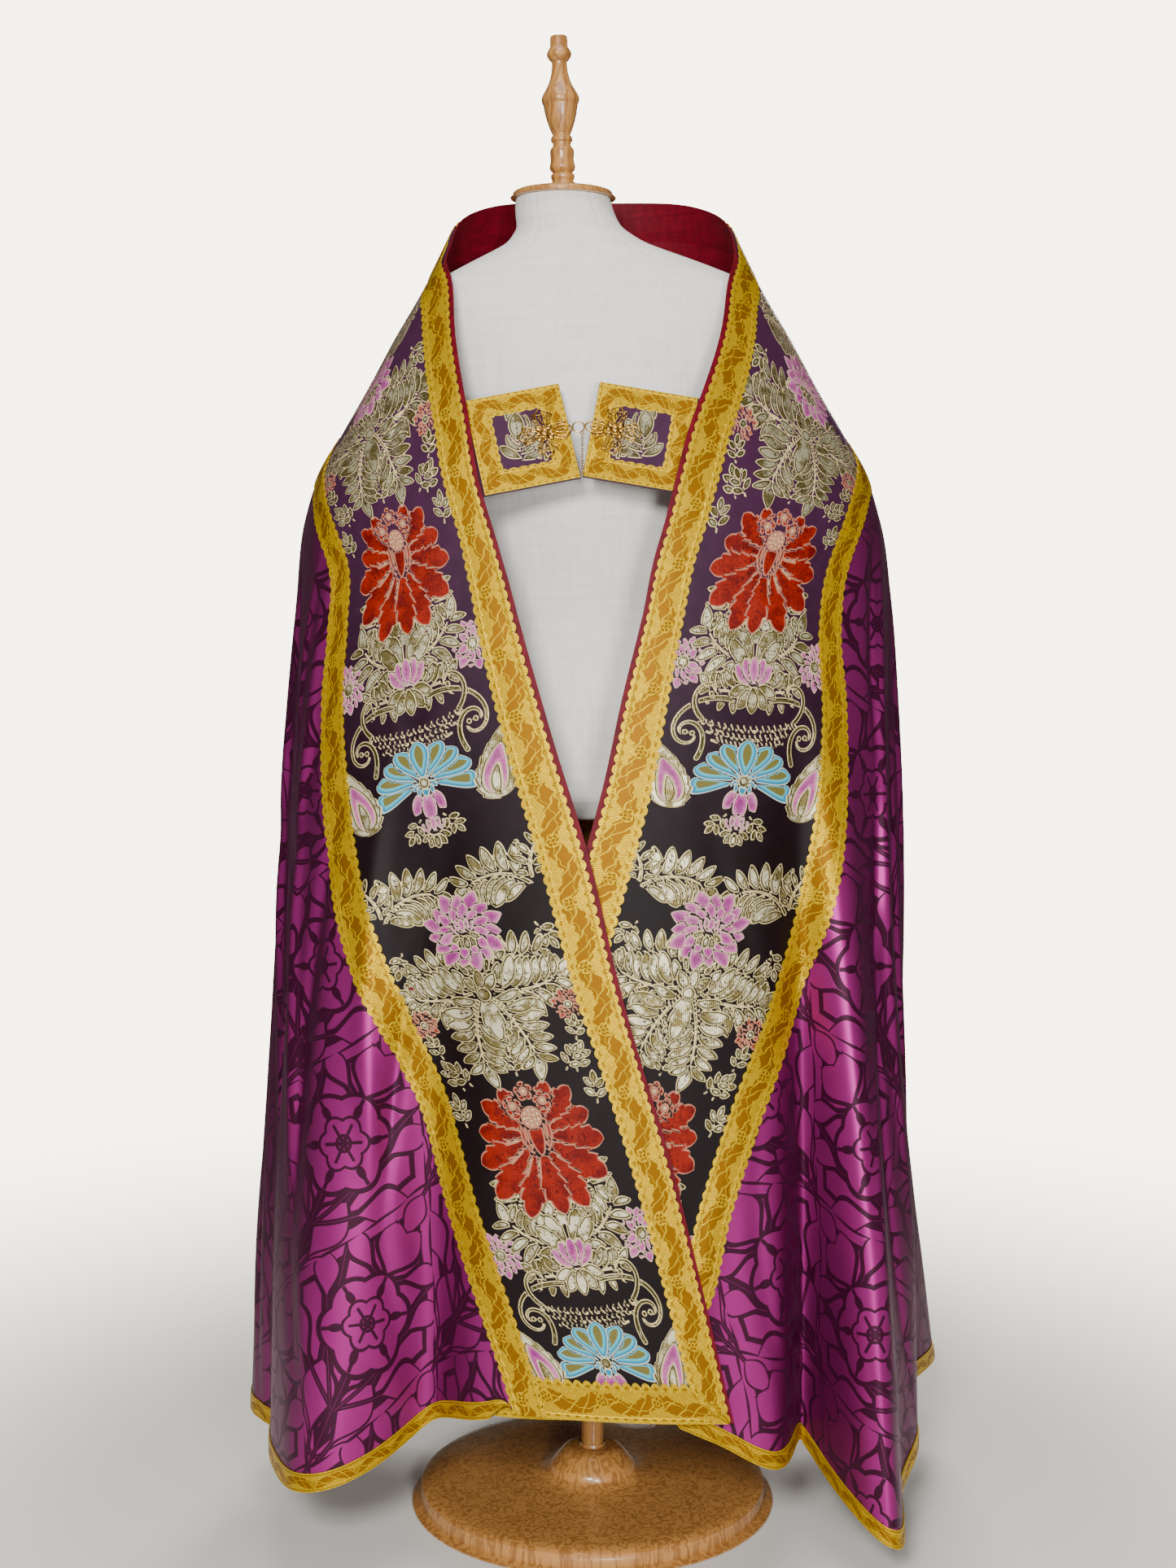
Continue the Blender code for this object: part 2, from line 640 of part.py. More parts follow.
def add_form(lining, collection):
    """Make the dress form, its neck cap and finial, and the stand under it."""
    lift = slide_to_seat(form_points, form_faces(), lining, (-SEAT_SEARCH, SEAT_SEARCH))
    mesh = bpy.data.meshes.new("dress_form")
    mesh.from_pydata(form_points(lift), [], form_faces())
    mesh.shade_smooth()
    add_mesh_object("dress_form", mesh, "linen", collection)
    top = FORM_RINGS[-1][0] + lift + LAYER_GAP
    cap = turned("neck_cap", CAP_PROFILE, WOOD_SIDES, "wood", collection)
    cap.location = (NECK_SHIFT, 0.0, top)
    finial = turned("finial", FINIAL_PROFILE, WOOD_SIDES, "wood", collection)
    finial.location = (NECK_SHIFT, 0.0, top + CAP_PROFILE[-1][1] + LAYER_GAP * 2.0)
    finial.rotation_euler = (0.0, -NECK_LEAN, 0.0)
    turned("base", BASE_PROFILE, BASE_SIDES, "wood", collection)
    pole_low = BASE_PROFILE[-1][1] + LAYER_GAP
    pole_high = FORM_RINGS[0][0] + lift - LAYER_GAP
    bpy.ops.mesh.primitive_cylinder_add(
        vertices=POLE_SIDES, radius=POLE_RADIUS, depth=pole_high - pole_low,
        location=(0.0, 0.0, (pole_low + pole_high) / 2.0),
    )
    pole = bpy.context.object
    pole.name = "pole"
    pole.data.materials.append(make_material("wood"))
    move_to(pole, collection)


def edge_at(points, height, left):
    """Return the point of a front's free edge at a height."""
    half = len(points) // 2
    edge = points[:half, 0] if left else points[half:, 0][::-1]
    order = np.argsort(edge[:, 2])
    return Vector([float(np.interp(height, edge[order, 2], edge[order, axis])) for axis in range(3)])


class ChestPlane:
    """The plane that the chest fastening lies on, with its axes right, up and outward."""

    def __init__(self, points):
        corners = {
            (left, height): edge_at(points, height, left)
            for left in (True, False) for height in (CHEST_LOW, CHEST_HIGH)
        }
        centre = sum(corners.values(), Vector()) / len(corners)
        across = sum((c if not left else -c for (left, _h), c in corners.items()), Vector())
        upward = sum((c if h == CHEST_HIGH else -c for (_left, h), c in corners.items()), Vector())
        self.right = across.normalized()
        self.outward = self.right.cross(upward).normalized()
        self.up = self.outward.cross(self.right)
        self.origin = centre - self.outward * CHEST_SETBACK

    def matrix(self, across, height, tilt, out):
        """Return the placement of a flat piece at a world X and Z, out from the plane."""
        right = (across - self.origin.x) / self.right.x
        up = (height - self.origin.z - right * self.right.z) / self.up.z
        place = self.origin + self.right * right + self.up * up + self.outward * out
        axes = Matrix((self.right, self.up, self.outward)).transposed().to_4x4()
        return Matrix.Translation(place) @ axes @ Matrix.Rotation(tilt, 4, "Z")


def flat_outline(name, outlines, thickness, placement, material_name, collection):
    """Make a flat solid from closed outlines, the first outside and the rest holes."""
    curve = bpy.data.curves.new(name, "CURVE")
    curve.dimensions = "2D"
    curve.fill_mode = "BOTH"
    curve.extrude = thickness / 2.0
    for outline in outlines:
        spline = curve.splines.new("POLY")
        spline.points.add(len(outline) - 1)
        for point, (x, y) in zip(spline.points, outline):
            point.co = (x, y, 0.0, 1.0)
        spline.use_cyclic_u = True
    curve.materials.append(make_material(material_name))
    item = bpy.data.objects.new(name, curve)
    item.matrix_world = placement
    collection.objects.link(item)
    return item


def rectangle(half_width, half_height):
    """Return the corners of a rectangle round the origin."""
    return [
        (-half_width, -half_height), (half_width, -half_height),
        (half_width, half_height), (-half_width, half_height),
    ]


def clasp_radius(angle, link_arm):
    """Return a clasp's outline radius: four arms with a curl at each side of each arm."""
    quarter = math.pi / 2.0
    side = (angle + quarter / 2.0) % quarter - quarter / 2.0
    arm = link_arm if abs(math.remainder(angle, 2.0 * math.pi)) < quarter / 2.0 else CLASP_ARM
    curl = math.exp(-(((abs(side) - CLASP_CURL_ANGLE) / CLASP_CURL_SPREAD) ** 2))
    reach = math.exp(-((side / CLASP_ARM_SPREAD) ** 4))
    return CLASP_BODY + CLASP_CURL * curl * (1.0 - reach) + (arm - CLASP_BODY) * reach


def clasp_outlines(link_arm):
    """Return a clasp's outline and the loop in each arm, with the link's arm along +X."""
    outline = []
    for number in range(CLASP_POINTS):
        angle = 2.0 * math.pi * number / CLASP_POINTS
        radius = clasp_radius(angle, link_arm)
        outline.append((radius * math.cos(angle), radius * math.sin(angle)))
    outlines = [outline]
    for arm in range(4):
        turn = arm * math.pi / 2.0
        reach = (link_arm if arm == 0 else CLASP_ARM) - CLASP_HOLE_INSET
        hole = []
        for step in range(CLASP_HOLE_POINTS):
            way = 2.0 * math.pi * step / CLASP_HOLE_POINTS
            hole.append((
                reach * math.cos(turn) + CLASP_HOLE_RADIUS * math.cos(way),
                reach * math.sin(turn) + CLASP_HOLE_RADIUS * math.sin(way),
            ))
        outlines.append(hole)
    return outlines


def add_panel(side, plane, lining, collection):
    """Make one chest panel: a padded square with a tab sewn behind the front's edge."""
    width, across, height, tilt = PANELS[side]
    outer = -1.0 if side == "left" else 1.0
    placement = plane.matrix(across, height, tilt, 0.0)
    reach = (outer * -width / 2.0, outer * width / 2.0, outer * (width / 2.0 + TAB_WIDTH - TAB_END),
             outer * (width / 2.0 + TAB_WIDTH))
    order = reach if outer > 0.0 else tuple(reversed(reach))
    rows = (-PANEL_HEIGHT / 2.0, PANEL_HEIGHT / 2.0)
    faces = wall_faces(len(order), len(rows), len(order))

    def corners(slide):
        points = []
        for level in (0.0, -PANEL_THICKNESS):
            for x in order:
                bent = slide if abs(x) > width / 2.0 + SEAM_GAP else 0.0
                points += [placement @ Vector((x, y, level + bent)) for y in rows]
        return points

    slide = slide_to_seat(corners, faces, lining, (-TAB_WIDTH, TAB_WIDTH))
    mesh = bpy.data.meshes.new("morse_" + side)
    mesh.from_pydata(corners(slide), [], faces)
    add_mesh_object("morse_" + side, mesh, "brocade", collection)
    lift = LAYER_GAP + GALLOON_THICKNESS / 2.0
    half = (width / 2.0, PANEL_HEIGHT / 2.0)
    outlines = [rectangle(*half), rectangle(half[0] - PANEL_FRAME, half[1] - PANEL_FRAME)]
    flat_outline(
        "morse_galloon_" + side, outlines, GALLOON_THICKNESS,
        plane.matrix(across, height, tilt, lift), "galloon", collection,
    )


def add_clasps(plane, collection):
    """Make the two clasps, their stones, the link between them and the chain."""
    level = 2.0 * LAYER_GAP + GALLOON_THICKNESS
    tips = []
    for side, (across, height, tilt, link_arm) in CLASPS.items():
        turn = tilt if side == "left" else tilt + math.pi
        placement = plane.matrix(across, height, turn, level + CLASP_THICKNESS / 2.0)
        outlines = clasp_outlines(link_arm)
        flat_outline("clasp_" + side, outlines, CLASP_THICKNESS, placement, "gilt", collection)
        tips.append(placement @ Vector((link_arm, 0.0, 0.0)))
        stone = turned("clasp_stone_" + side, STONE_PROFILE, STONE_SIDES, "gilt", collection)
        stone.matrix_world = plane.matrix(across, height, turn, level + CLASP_THICKNESS + LAYER_GAP)
    middle = (tips[0] + tips[1]) / 2.0
    radius = (tips[1] - tips[0]).length / 2.0 - LAYER_GAP - LINK_WIRE
    bpy.ops.mesh.primitive_torus_add(
        major_segments=LINK_SIDES, minor_segments=LINK_WIRE_SIDES,
        major_radius=radius, minor_radius=LINK_WIRE,
    )
    link = bpy.context.object
    link.name = "clasp_link"
    link.data.materials.append(make_material("gilt"))
    link.matrix_world = Matrix.Translation(middle) @ plane.matrix(0.0, 0.0, 0.0, 0.0).to_3x3().to_4x4()
    move_to(link, collection)
    profile = [(0.0, 0.0)]
    for bead in range(CHAIN_BEADS):
        for part, bead_radius in CHAIN_BEAD_STEPS:
            profile.append((bead_radius, (bead + part) / CHAIN_BEADS * CHAIN_LENGTH))
    profile.append((0.0, CHAIN_LENGTH))
    chain = turned("clasp_chain", profile, CHAIN_SIDES, "gilt", collection)
    hang = middle + plane.right * CHAIN_SIDE_STEP
    drop = math.sqrt(radius ** 2 - CHAIN_SIDE_STEP ** 2) + LINK_WIRE + CHAIN_LENGTH
    place = hang - plane.up * drop + plane.outward * (CHAIN_RADIUS - LINK_WIRE)
    axes = Matrix((plane.right, -plane.outward, plane.up)).transposed().to_4x4()
    chain.matrix_world = Matrix.Translation(place) @ axes


def move_to(item, collection):
    """Put an object in the part's collection only."""
    for owner in list(item.users_collection):
        owner.objects.unlink(item)
    collection.objects.link(item)


def main():
    """Build the part."""
    clear_scene()
    collection = bpy.data.collections.new("cope_vestment")
    bpy.context.scene.collection.children.link(collection)
    points, starts = draped_grid()
    add_garment(points, grid_normals(points), starts, collection)
    lining = bpy.data.objects["lining"]
    plane = ChestPlane(points)
    for side in PANELS:
        add_panel(side, plane, lining, collection)
    add_clasps(plane, collection)
    add_form(lining, collection)


main()
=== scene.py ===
"""Cope vestment on a limbless dress form: cloth, trims, clasps and woods over the fixed frame.

Every cloth piece is a fine shell on one draped surface, worked out from the same rings, folds
and edges as the solids.  Metres, +Z up, front towards -Y, origin at the base on the floor.
"""

import logging
import math
from dataclasses import dataclass, field
from enum import Enum
from typing import Callable, Optional, Sequence, Union

import bmesh
import bpy
import numpy as np
from mathutils import Matrix, Vector


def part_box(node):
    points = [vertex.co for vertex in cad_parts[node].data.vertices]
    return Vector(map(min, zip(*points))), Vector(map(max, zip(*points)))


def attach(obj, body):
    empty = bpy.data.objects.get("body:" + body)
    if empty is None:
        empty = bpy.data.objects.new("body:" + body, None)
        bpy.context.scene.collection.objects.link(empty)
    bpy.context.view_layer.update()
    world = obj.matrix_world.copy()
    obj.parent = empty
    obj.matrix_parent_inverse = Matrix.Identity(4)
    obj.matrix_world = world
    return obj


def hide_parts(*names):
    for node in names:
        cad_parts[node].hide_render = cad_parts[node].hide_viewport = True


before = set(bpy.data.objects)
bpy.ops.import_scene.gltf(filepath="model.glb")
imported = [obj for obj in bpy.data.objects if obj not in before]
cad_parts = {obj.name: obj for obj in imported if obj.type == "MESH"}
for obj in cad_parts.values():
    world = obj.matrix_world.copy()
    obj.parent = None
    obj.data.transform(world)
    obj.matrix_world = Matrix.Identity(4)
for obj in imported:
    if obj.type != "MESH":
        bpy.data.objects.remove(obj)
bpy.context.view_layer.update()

LOG = logging.getLogger("cope_vestment")
BODY = "root"

Number = Union[int, float]
Array = np.ndarray
Point = tuple[float, float]
Mesh = bpy.types.Mesh
Material = bpy.types.Material
Socket = bpy.types.NodeSocket

# Widths of the cut strips, and levels above the draped surface and above the cloth below
BAND_WIDTH = 0.285
GALLOON_WIDTH = 0.042
HEM_GALLOON_WIDTH = 0.020
CLOTH_LEVEL = 0.0015
BAND_LEVEL = 0.0018
TRIM_RISE = 0.0003
TRIM_LEVEL = 0.0011

# Rings of the draped cloth: height, half width, depth to the front, depth to the back
RING_SIZES = (
    (0.00, 0.413, 0.272, 0.340),
    (0.34, 0.404, 0.258, 0.322),
    (0.64, 0.388, 0.243, 0.300),
    (0.95, 0.371, 0.228, 0.275),
    (1.10, 0.361, 0.220, 0.258),
    (1.20, 0.350, 0.211, 0.240),
    (1.25, 0.334, 0.203, 0.228),
    (1.30, 0.306, 0.192, 0.212),
    (1.36, 0.272, 0.175, 0.190),
    (1.42, 0.240, 0.150, 0.168),
    (1.47, 0.211, 0.125, 0.150),
    (1.52, 0.185, 0.095, 0.130),
    (1.56, 0.167, 0.075, 0.118),
    (1.60, 0.150, 0.060, 0.105),
    (1.64, 0.136, 0.050, 0.094),
)

# Folds down to the hem: angle, spread in degrees, depth at the hem, height where it starts
FOLDS = (
    (-27.0, 7.0, -0.075, 0.90),
    (-47.0, 11.0, 0.065, 1.15),
    (-74.0, 8.0, -0.020, 1.10),
    (-97.0, 10.0, 0.012, 1.20),
    (-118.0, 9.0, -0.060, 1.10),
    (-136.0, 9.0, 0.075, 1.20),
    (-154.0, 9.0, -0.055, 1.05),
    (-172.0, 9.0, 0.060, 1.22),
    (-190.0, 9.0, -0.050, 1.10),
    (-207.0, 9.0, 0.060, 1.15),
    (-221.0, 8.0, -0.050, 1.05),
    (-238.0, 11.0, 0.115, 1.20),
    (-270.0, 12.0, -0.060, 1.10),
    (-312.0, 7.0, 0.098, 1.05),
    (-321.5, 5.0, -0.100, 0.98),
    (-331.0, 6.0, 0.010, 0.70),
)

# Left front, from its bottom corner up: distance across and height of its free edge, the
# same for the seam with the cloak, and the angle of the hem below
LEFT_FRONT = (
    (0.150, 0.190, -0.087, 0.205, -12.5),
    (0.140, 0.232, -0.100, 0.247, -16.0),
    (0.118, 0.325, -0.123, 0.310, -20.0),
    (0.081, 0.474, -0.162, 0.415, -25.0),
    (0.046, 0.590, -0.198, 0.535, -30.0),
    (0.021, 0.676, -0.240, 0.622, -36.0),
    (-0.011, 0.810, -0.279, 0.725, -43.0),
    (-0.052, 0.943, -0.301, 0.860, -51.0),
    (-0.086, 1.063, -0.306, 0.975, -60.0),
    (-0.105, 1.135, -0.300, 1.060, -70.0),
    (-0.126, 1.205, -0.300, 1.140, -79.0),
    (-0.150, 1.325, -0.327, 1.212, -87.0),
)
RIGHT_FRONT = (
    (-0.155, 0.195, 0.070, 0.195, -350.2),
    (-0.145, 0.237, 0.088, 0.235, -346.5),
    (-0.118, 0.345, 0.132, 0.325, -340.5),
    (-0.085, 0.485, 0.154, 0.415, -336.5),
    (-0.053, 0.605, 0.190, 0.520, -332.0),
    (-0.030, 0.700, 0.232, 0.622, -326.0),
    (-0.004, 0.804, 0.270, 0.740, -319.5),
    (0.020, 0.895, 0.288, 0.860, -313.0),
    (0.040, 0.989, 0.292, 0.975, -306.0),
    (0.062, 1.080, 0.287, 1.065, -298.0),
    (0.083, 1.171, 0.300, 1.145, -288.0),
    (0.120, 1.305, 0.327, 1.212, -278.0),
)

# Neck: angle and height of the free edge, the same for the seam, and the angle of the hem
NECK = (
    (-50.0, 1.460, -88.0, 1.250, -96.0),
    (-68.0, 1.510, -98.0, 1.268, -106.0),
    (-90.0, 1.553, -112.0, 1.287, -119.0),
    (-112.0, 1.578, -128.0, 1.305, -134.0),
    (-140.0, 1.595, -150.0, 1.320, -156.0),
    (-180.0, 1.600, -180.0, 1.330, -180.0),
    (-220.0, 1.595, -210.0, 1.320, -205.0),
    (-248.0, 1.578, -232.0, 1.305, -226.0),
    (-270.0, 1.553, -248.0, 1.287, -243.0),
    (-292.0, 1.510, -262.0, 1.268, -256.0),
    (-312.0, 1.455, -272.0, 1.250, -268.0),
)
# The rows at the centre back and at the right front's bottom corner
BACK_ROW = 17
LAST_ROW = 34

# Hem: angle and height
HEM_HEIGHTS = (
    (-350.2, 0.195),
    (-341.0, 0.165),
    (-331.0, 0.130),
    (-321.0, 0.115),
    (-317.0, 0.085),
    (-312.0, 0.058),
    (-303.0, 0.060),
    (-292.0, 0.085),
    (-268.0, 0.100),
    (-235.0, 0.095),
    (-180.0, 0.098),
    (-125.0, 0.102),
    (-90.0, 0.108),
    (-62.0, 0.105),
    (-47.0, 0.112),
    (-34.0, 0.140),
    (-24.0, 0.175),
    (-12.5, 0.205),
)

# Creases laid in: angle and height of the middle, lean in degrees from upright,
# half length and half width in metres, and depth (a ridge is positive)
CREASES = (
    (-40.0, 0.62, -4.0, 0.260, 0.016, 0.0045),
    (-35.5, 0.50, 3.0, 0.200, 0.012, -0.0050),
    (-55.0, 0.56, 2.0, 0.300, 0.014, -0.0050),
    (-62.0, 0.70, -3.0, 0.320, 0.015, 0.0055),
    (-70.0, 0.55, 4.0, 0.280, 0.013, -0.0060),
    (-80.0, 0.80, -2.0, 0.300, 0.016, 0.0050),
    (-88.0, 0.52, 3.0, 0.300, 0.014, -0.0055),
    (-66.0, 1.02, 8.0, 0.120, 0.010, 0.0040),
    (-75.0, 1.08, -6.0, 0.090, 0.010, -0.0035),
    (-104.0, 0.70, -3.0, 0.320, 0.016, 0.0055),
    (-112.0, 0.95, 4.0, 0.180, 0.013, -0.0040),
    (-127.0, 0.62, -2.0, 0.300, 0.014, -0.0050),
    (-145.0, 0.75, 3.0, 0.320, 0.015, 0.0050),
    (-162.0, 0.66, -3.0, 0.300, 0.014, 0.0050),
    (-181.0, 0.72, 2.0, 0.320, 0.014, -0.0050),
    (-199.0, 0.60, -2.0, 0.300, 0.014, 0.0050),
    (-214.0, 0.78, 3.0, 0.300, 0.015, -0.0045),
    (-230.0, 0.64, -3.0, 0.280, 0.014, 0.0050),
    (-250.0, 0.74, 2.0, 0.320, 0.015, -0.0055),
    (-262.0, 0.60, -4.0, 0.300, 0.014, 0.0050),
    (-279.0, 0.86, 3.0, 0.260, 0.014, 0.0050),
    (-288.0, 0.62, -3.0, 0.320, 0.015, -0.0065),
    (-296.0, 0.76, 2.0, 0.300, 0.013, 0.0055),
    (-303.0, 0.50, -2.0, 0.260, 0.012, -0.0050),
    (-296.0, 1.04, 7.0, 0.100, 0.010, -0.0035),
    (-309.0, 0.40, 3.0, 0.240, 0.011, 0.0045),
    (-332.0, 0.34, -6.0, 0.150, 0.012, -0.0040),
    (-343.0, 0.32, 5.0, 0.120, 0.012, 0.0035),
    (-47.0, 1.30, 0.0, 0.045, 0.006, -0.0030),
    (-43.5, 1.26, 12.0, 0.070, 0.010, 0.0022),
    (-28.0, 0.98, 32.0, 0.110, 0.014, 0.0020),
    (-20.0, 0.66, 20.0, 0.140, 0.016, -0.0022),
    (-6.0, 0.42, 12.0, 0.140, 0.018, 0.0022),
    (2.0, 0.30, 60.0, 0.080, 0.014, -0.0016),
    (-316.0, 1.29, -8.0, 0.070, 0.009, -0.0026),
    (-322.0, 1.02, -30.0, 0.110, 0.014, 0.0020),
    (-334.0, 0.72, -22.0, 0.120, 0.015, -0.0022),
    (-150.0, 1.42, 20.0, 0.070, 0.010, 0.0020),
    (-182.0, 1.44, -4.0, 0.080, 0.010, -0.0022),
    (-214.0, 1.42, -20.0, 0.070, 0.010, 0.0020),
    (-98.0, 1.40, 8.0, 0.080, 0.010, -0.0024),
    (-262.0, 1.40, -8.0, 0.080, 0.010, -0.0024),
)


# Curves and lookups

def lookup(table: Sequence[Sequence[float]], column: int, where: Array) -> Array:
    """Read a column of a table smoothly between its rows.

    Args:
        table: rows whose first column rises.
        column: the column that is read.
        where: values of the first column.

    Returns:
        The column's values there.
    """
    rows = np.asarray(table, dtype=float)
    keys, values = rows[:, 0], rows[:, column]
    slopes = np.gradient(values, keys)
    where = np.clip(where, keys[0], keys[-1])
    index = np.clip(np.searchsorted(keys, where) - 1, 0, len(keys) - 2)
    span = keys[index + 1] - keys[index]
    part = (where - keys[index]) / span
    ease = part * part * (3.0 - 2.0 * part)
    rise = part * (1.0 - part) ** 2 * span * slopes[index]
    fall = part * part * (1.0 - part) * span * slopes[index + 1]
    return values[index] * (1.0 - ease) + values[index + 1] * ease + rise - fall


def smoothstep(value: Array, low: float, high: float) -> Array:
    """Return 0 below low, 1 above high and a smooth rise between."""
    part = np.clip((value - low) / (high - low), 0.0, 1.0)
    return part * part * (3.0 - 2.0 * part)


def between(a: Array, b: Array, c: Array, d: Array, part: Union[float, Array]) -> Array:
    """Return the place a part of the way from b to c, on the smooth curve through four points."""
    return 0.5 * (2 * b + (c - a) * part + (2 * a - 5 * b + 4 * c - d) * part ** 2
                  + (3 * b - a - 3 * c + d) * part ** 3)


def with_ends(rows: Array) -> Array:
    """Return rows with one more at each end, carried on in a straight line."""
    return np.vstack([2 * rows[0] - rows[1], rows, 2 * rows[-1] - rows[-2]])


def run_along(points: Array) -> Array:
    """Return the distance of each point along its line."""
    return np.concatenate([[0.0], np.cumsum(np.linalg.norm(np.diff(points, axis=0), axis=1))])


@dataclass(frozen=True)
class Drape:
    """The draped surface of the cope: from its edge lines to points in space.

    A station is a place along the free edge, from the left front's bottom corner (0) round
    the neck to the right front's (LAST_ROW).

    Attributes:
        turn_power: how late a fold's direction turns from straight ahead to sideways.
        fan_power: how soon the cloth's lines fan out below the seam.
        fold_power: how fast a fold deepens downwards.
        fold_share: factor that brings the sheets' folds to the solids' depth.
        lift: how far the left front lies out over the right one.
        lift_full: ring angle from which the lift is whole.
        lift_gone: ring angle at which it has gone.
        crease_gain: factor on the depth of the larger creases.
        crease_small: depth up to which a crease is left as it is.
        crease_bow: how much a crease is bowed.
        degree: metres of cloth to a degree of the ring angle.
        rows: the edge lines, worked out from the tables.
    """

    turn_power: float = 2.0
    fan_power: float = 2.5
    fold_power: float = 1.3
    fold_share: float = 0.9
    lift: float = 0.015
    crease_gain: float = 1.7
    crease_small: float = 0.0042
    crease_bow: float = 0.10
    degree: float = 0.0062
    lift_full: float = -58.0
    lift_gone: float = -78.0
    rows: Array = field(default_factory=lambda: Drape.joined())

    @staticmethod
    def joined() -> Array:
        """Return the edge lines of the two fronts and the neck as one table of angles."""
        def angle(across: float, height: float) -> float:
            """Return the ring angle of a point of a front."""
            return math.degrees(math.asin(across / float(lookup(RING_SIZES, 1, np.array(height)))))
        table = [(angle(a, b), b, angle(c, d), d, h) for a, b, c, d, h in LEFT_FRONT]
        table += list(NECK)
        table += [
            (angle(a, b) - 360.0, b, angle(c, d) - 360.0, d, h) for a, b, c, d, h in reversed(RIGHT_FRONT)
        ]
        return np.array(table)

    def stations(self, at: Array) -> Array:
        """Return the edge, seam and hem values at stations.

        Args:
            at: stations, which may lie between rows.

        Returns:
            Columns of edge angle and height, seam angle and height, and hem angle.
        """
        padded = with_ends(self.rows)
        first = np.clip(np.floor(at).astype(int), 0, len(self.rows) - 2)
        return between(*(padded[first + step] for step in range(4)), (at - first)[:, None])

    def band(self, at: Array, across: Array) -> tuple[Array, Array]:
        """Return ring angles and heights on the front band.

        Args:
            at: stations.
            across: distances from the free edge, for each station by row.
        """
        edge_angle, edge_z, seam_angle, seam_z, _hem = self.stations(at).T
        part = across / BAND_WIDTH
        angle = edge_angle[:, None] * (1 - part) + seam_angle[:, None] * part
        return angle, edge_z[:, None] * (1 - part) + seam_z[:, None] * part

    def body(self, at: Array, share: Array) -> tuple[Array, Array]:
        """Return ring angles and heights on the cloak, with share 0 at the seam and 1 at the hem."""
        _angle, _z, seam_angle, seam_z, hem_angle = self.stations(at).T
        hem_z = np.minimum(lookup(HEM_HEIGHTS, 1, hem_angle), seam_z)
        open_part = np.clip(np.minimum(at, LAST_ROW - at), 0.0, 1.0)
        hem_angle = seam_angle + (hem_angle - seam_angle) * open_part
        hem_z = seam_z + (hem_z - seam_z) * open_part
        fan = 1 - (1 - share) ** self.fan_power
        angle = seam_angle[:, None] * (1 - fan) + hem_angle[:, None] * fan
        return angle, seam_z[:, None] - (seam_z - hem_z)[:, None] * share

    def hem_share(self, at: Array) -> Array:
        """Return the share at which the hem's trim starts."""
        _angle, high = self.body(at, np.zeros((len(at), 1)))
        _angle, low = self.body(at, np.ones((len(at), 1)))
        drop = np.maximum(high - low, 0.0005)[:, 0]
        return 1 - np.minimum(HEM_GALLOON_WIDTH, 0.4 * drop) / drop

    def move(self, angle: Array, height: Array) -> Array:
        """Return how far folds, creases and the overlap move the cloth outwards."""
        total = self.lift * smoothstep(angle, self.lift_gone, self.lift_full)
        for centre, spread, depth, top in FOLDS:
            away = (angle - centre + 180.0) % 360.0 - 180.0
            growth = np.clip((top - height) / top, 0.0, 1.0)
            bell = np.exp(-(away / spread) ** 2)
            total = total + depth * growth ** self.fold_power * bell / self.fold_share
        for centre, middle, lean, length, width, depth in CREASES:
            side = (angle - centre) * self.degree
            rise = height - middle
            turn = math.radians(lean)
            along = rise * math.cos(turn) + side * math.sin(turn)
            off = side * math.cos(turn) - rise * math.sin(turn)
            bend = off - self.crease_bow * along * along / length
            gain = self.crease_gain if abs(depth) > self.crease_small else 1.0
            total = total + gain * depth * np.exp(-(along / length) ** 2 - (bend / width) ** 2)
        return total

    def surface(self, angle: Array, height: Array) -> Array:
        """Return points of the draped surface at ring angles and heights."""
        width, front, back = (lookup(RING_SIZES, column, height) for column in (1, 2, 3))
        turn = np.radians(angle)
        depth = np.where(np.cos(turn) > 0.0, front, back)
        around = (turn + math.pi) % (2 * math.pi) - math.pi
        quarter = math.pi / 2
        ahead = np.minimum(np.abs(around) / quarter, 1.0) ** self.turn_power
        out = np.where(np.abs(around) < quarter, around * ahead, around)
        move = self.move(angle, height)
        return np.stack([
            width * np.sin(turn) + move * np.sin(out), -depth * np.cos(turn) - move * np.cos(out), height,
        ], axis=-1)

    def place(self, angle: Array, height: Array, level: Union[float, Array]) -> Array:
        """Return points a level above the surface, along its outward normal.

        Args:
            angle: ring angles.
            height: heights.
            level: distance out, one for all points or one for each.
        """
        turn_step, rise = 0.05, 0.0004
        along = self.surface(angle + turn_step, height) - self.surface(angle - turn_step, height)
        upward = self.surface(angle, height + rise) - self.surface(angle, height - rise)
        normal = np.cross(along, upward)
        normal /= np.maximum(np.linalg.norm(normal, axis=-1, keepdims=True), 1e-12)
        return self.surface(angle, height) + normal * np.asarray(level)[..., None]

    def even(self, start: float, stop: float, count: int, across: float) -> tuple[Array, Array]:
        """Return stations spaced evenly along a line at a distance from the free edge.

        Args:
            start: first station.
            stop: last station.
            count: how many stations.
            across: distance of the line from the free edge.

        Returns:
            The stations, and their distances along the line.
        """
        fine = np.linspace(start, stop, int((stop - start) * 60) + 2)
        points = self.surface(*self.band(fine, np.full((len(fine), 1), across)))[:, 0]
        run = run_along(points)
        want = np.linspace(0.0, run[-1], count)
        return np.interp(want, run, fine), want


DRAPE = Drape()


# Meshes

def finished(shape: bmesh.types.BMesh, name: str) -> Mesh:
    """Return a new mesh with what a bmesh holds, and free the bmesh."""
    mesh = bpy.data.meshes.new(name)
    shape.to_mesh(mesh)
    shape.free()
    return mesh


def link(name: str, mesh: Mesh, material: Material) -> bpy.types.Object:
    """Link a mesh as an object with one material."""
    mesh.name = name
    mesh.materials.clear()
    mesh.materials.append(material)
    item = bpy.data.objects.new(name, mesh)
    bpy.context.scene.collection.objects.link(item)
    return item


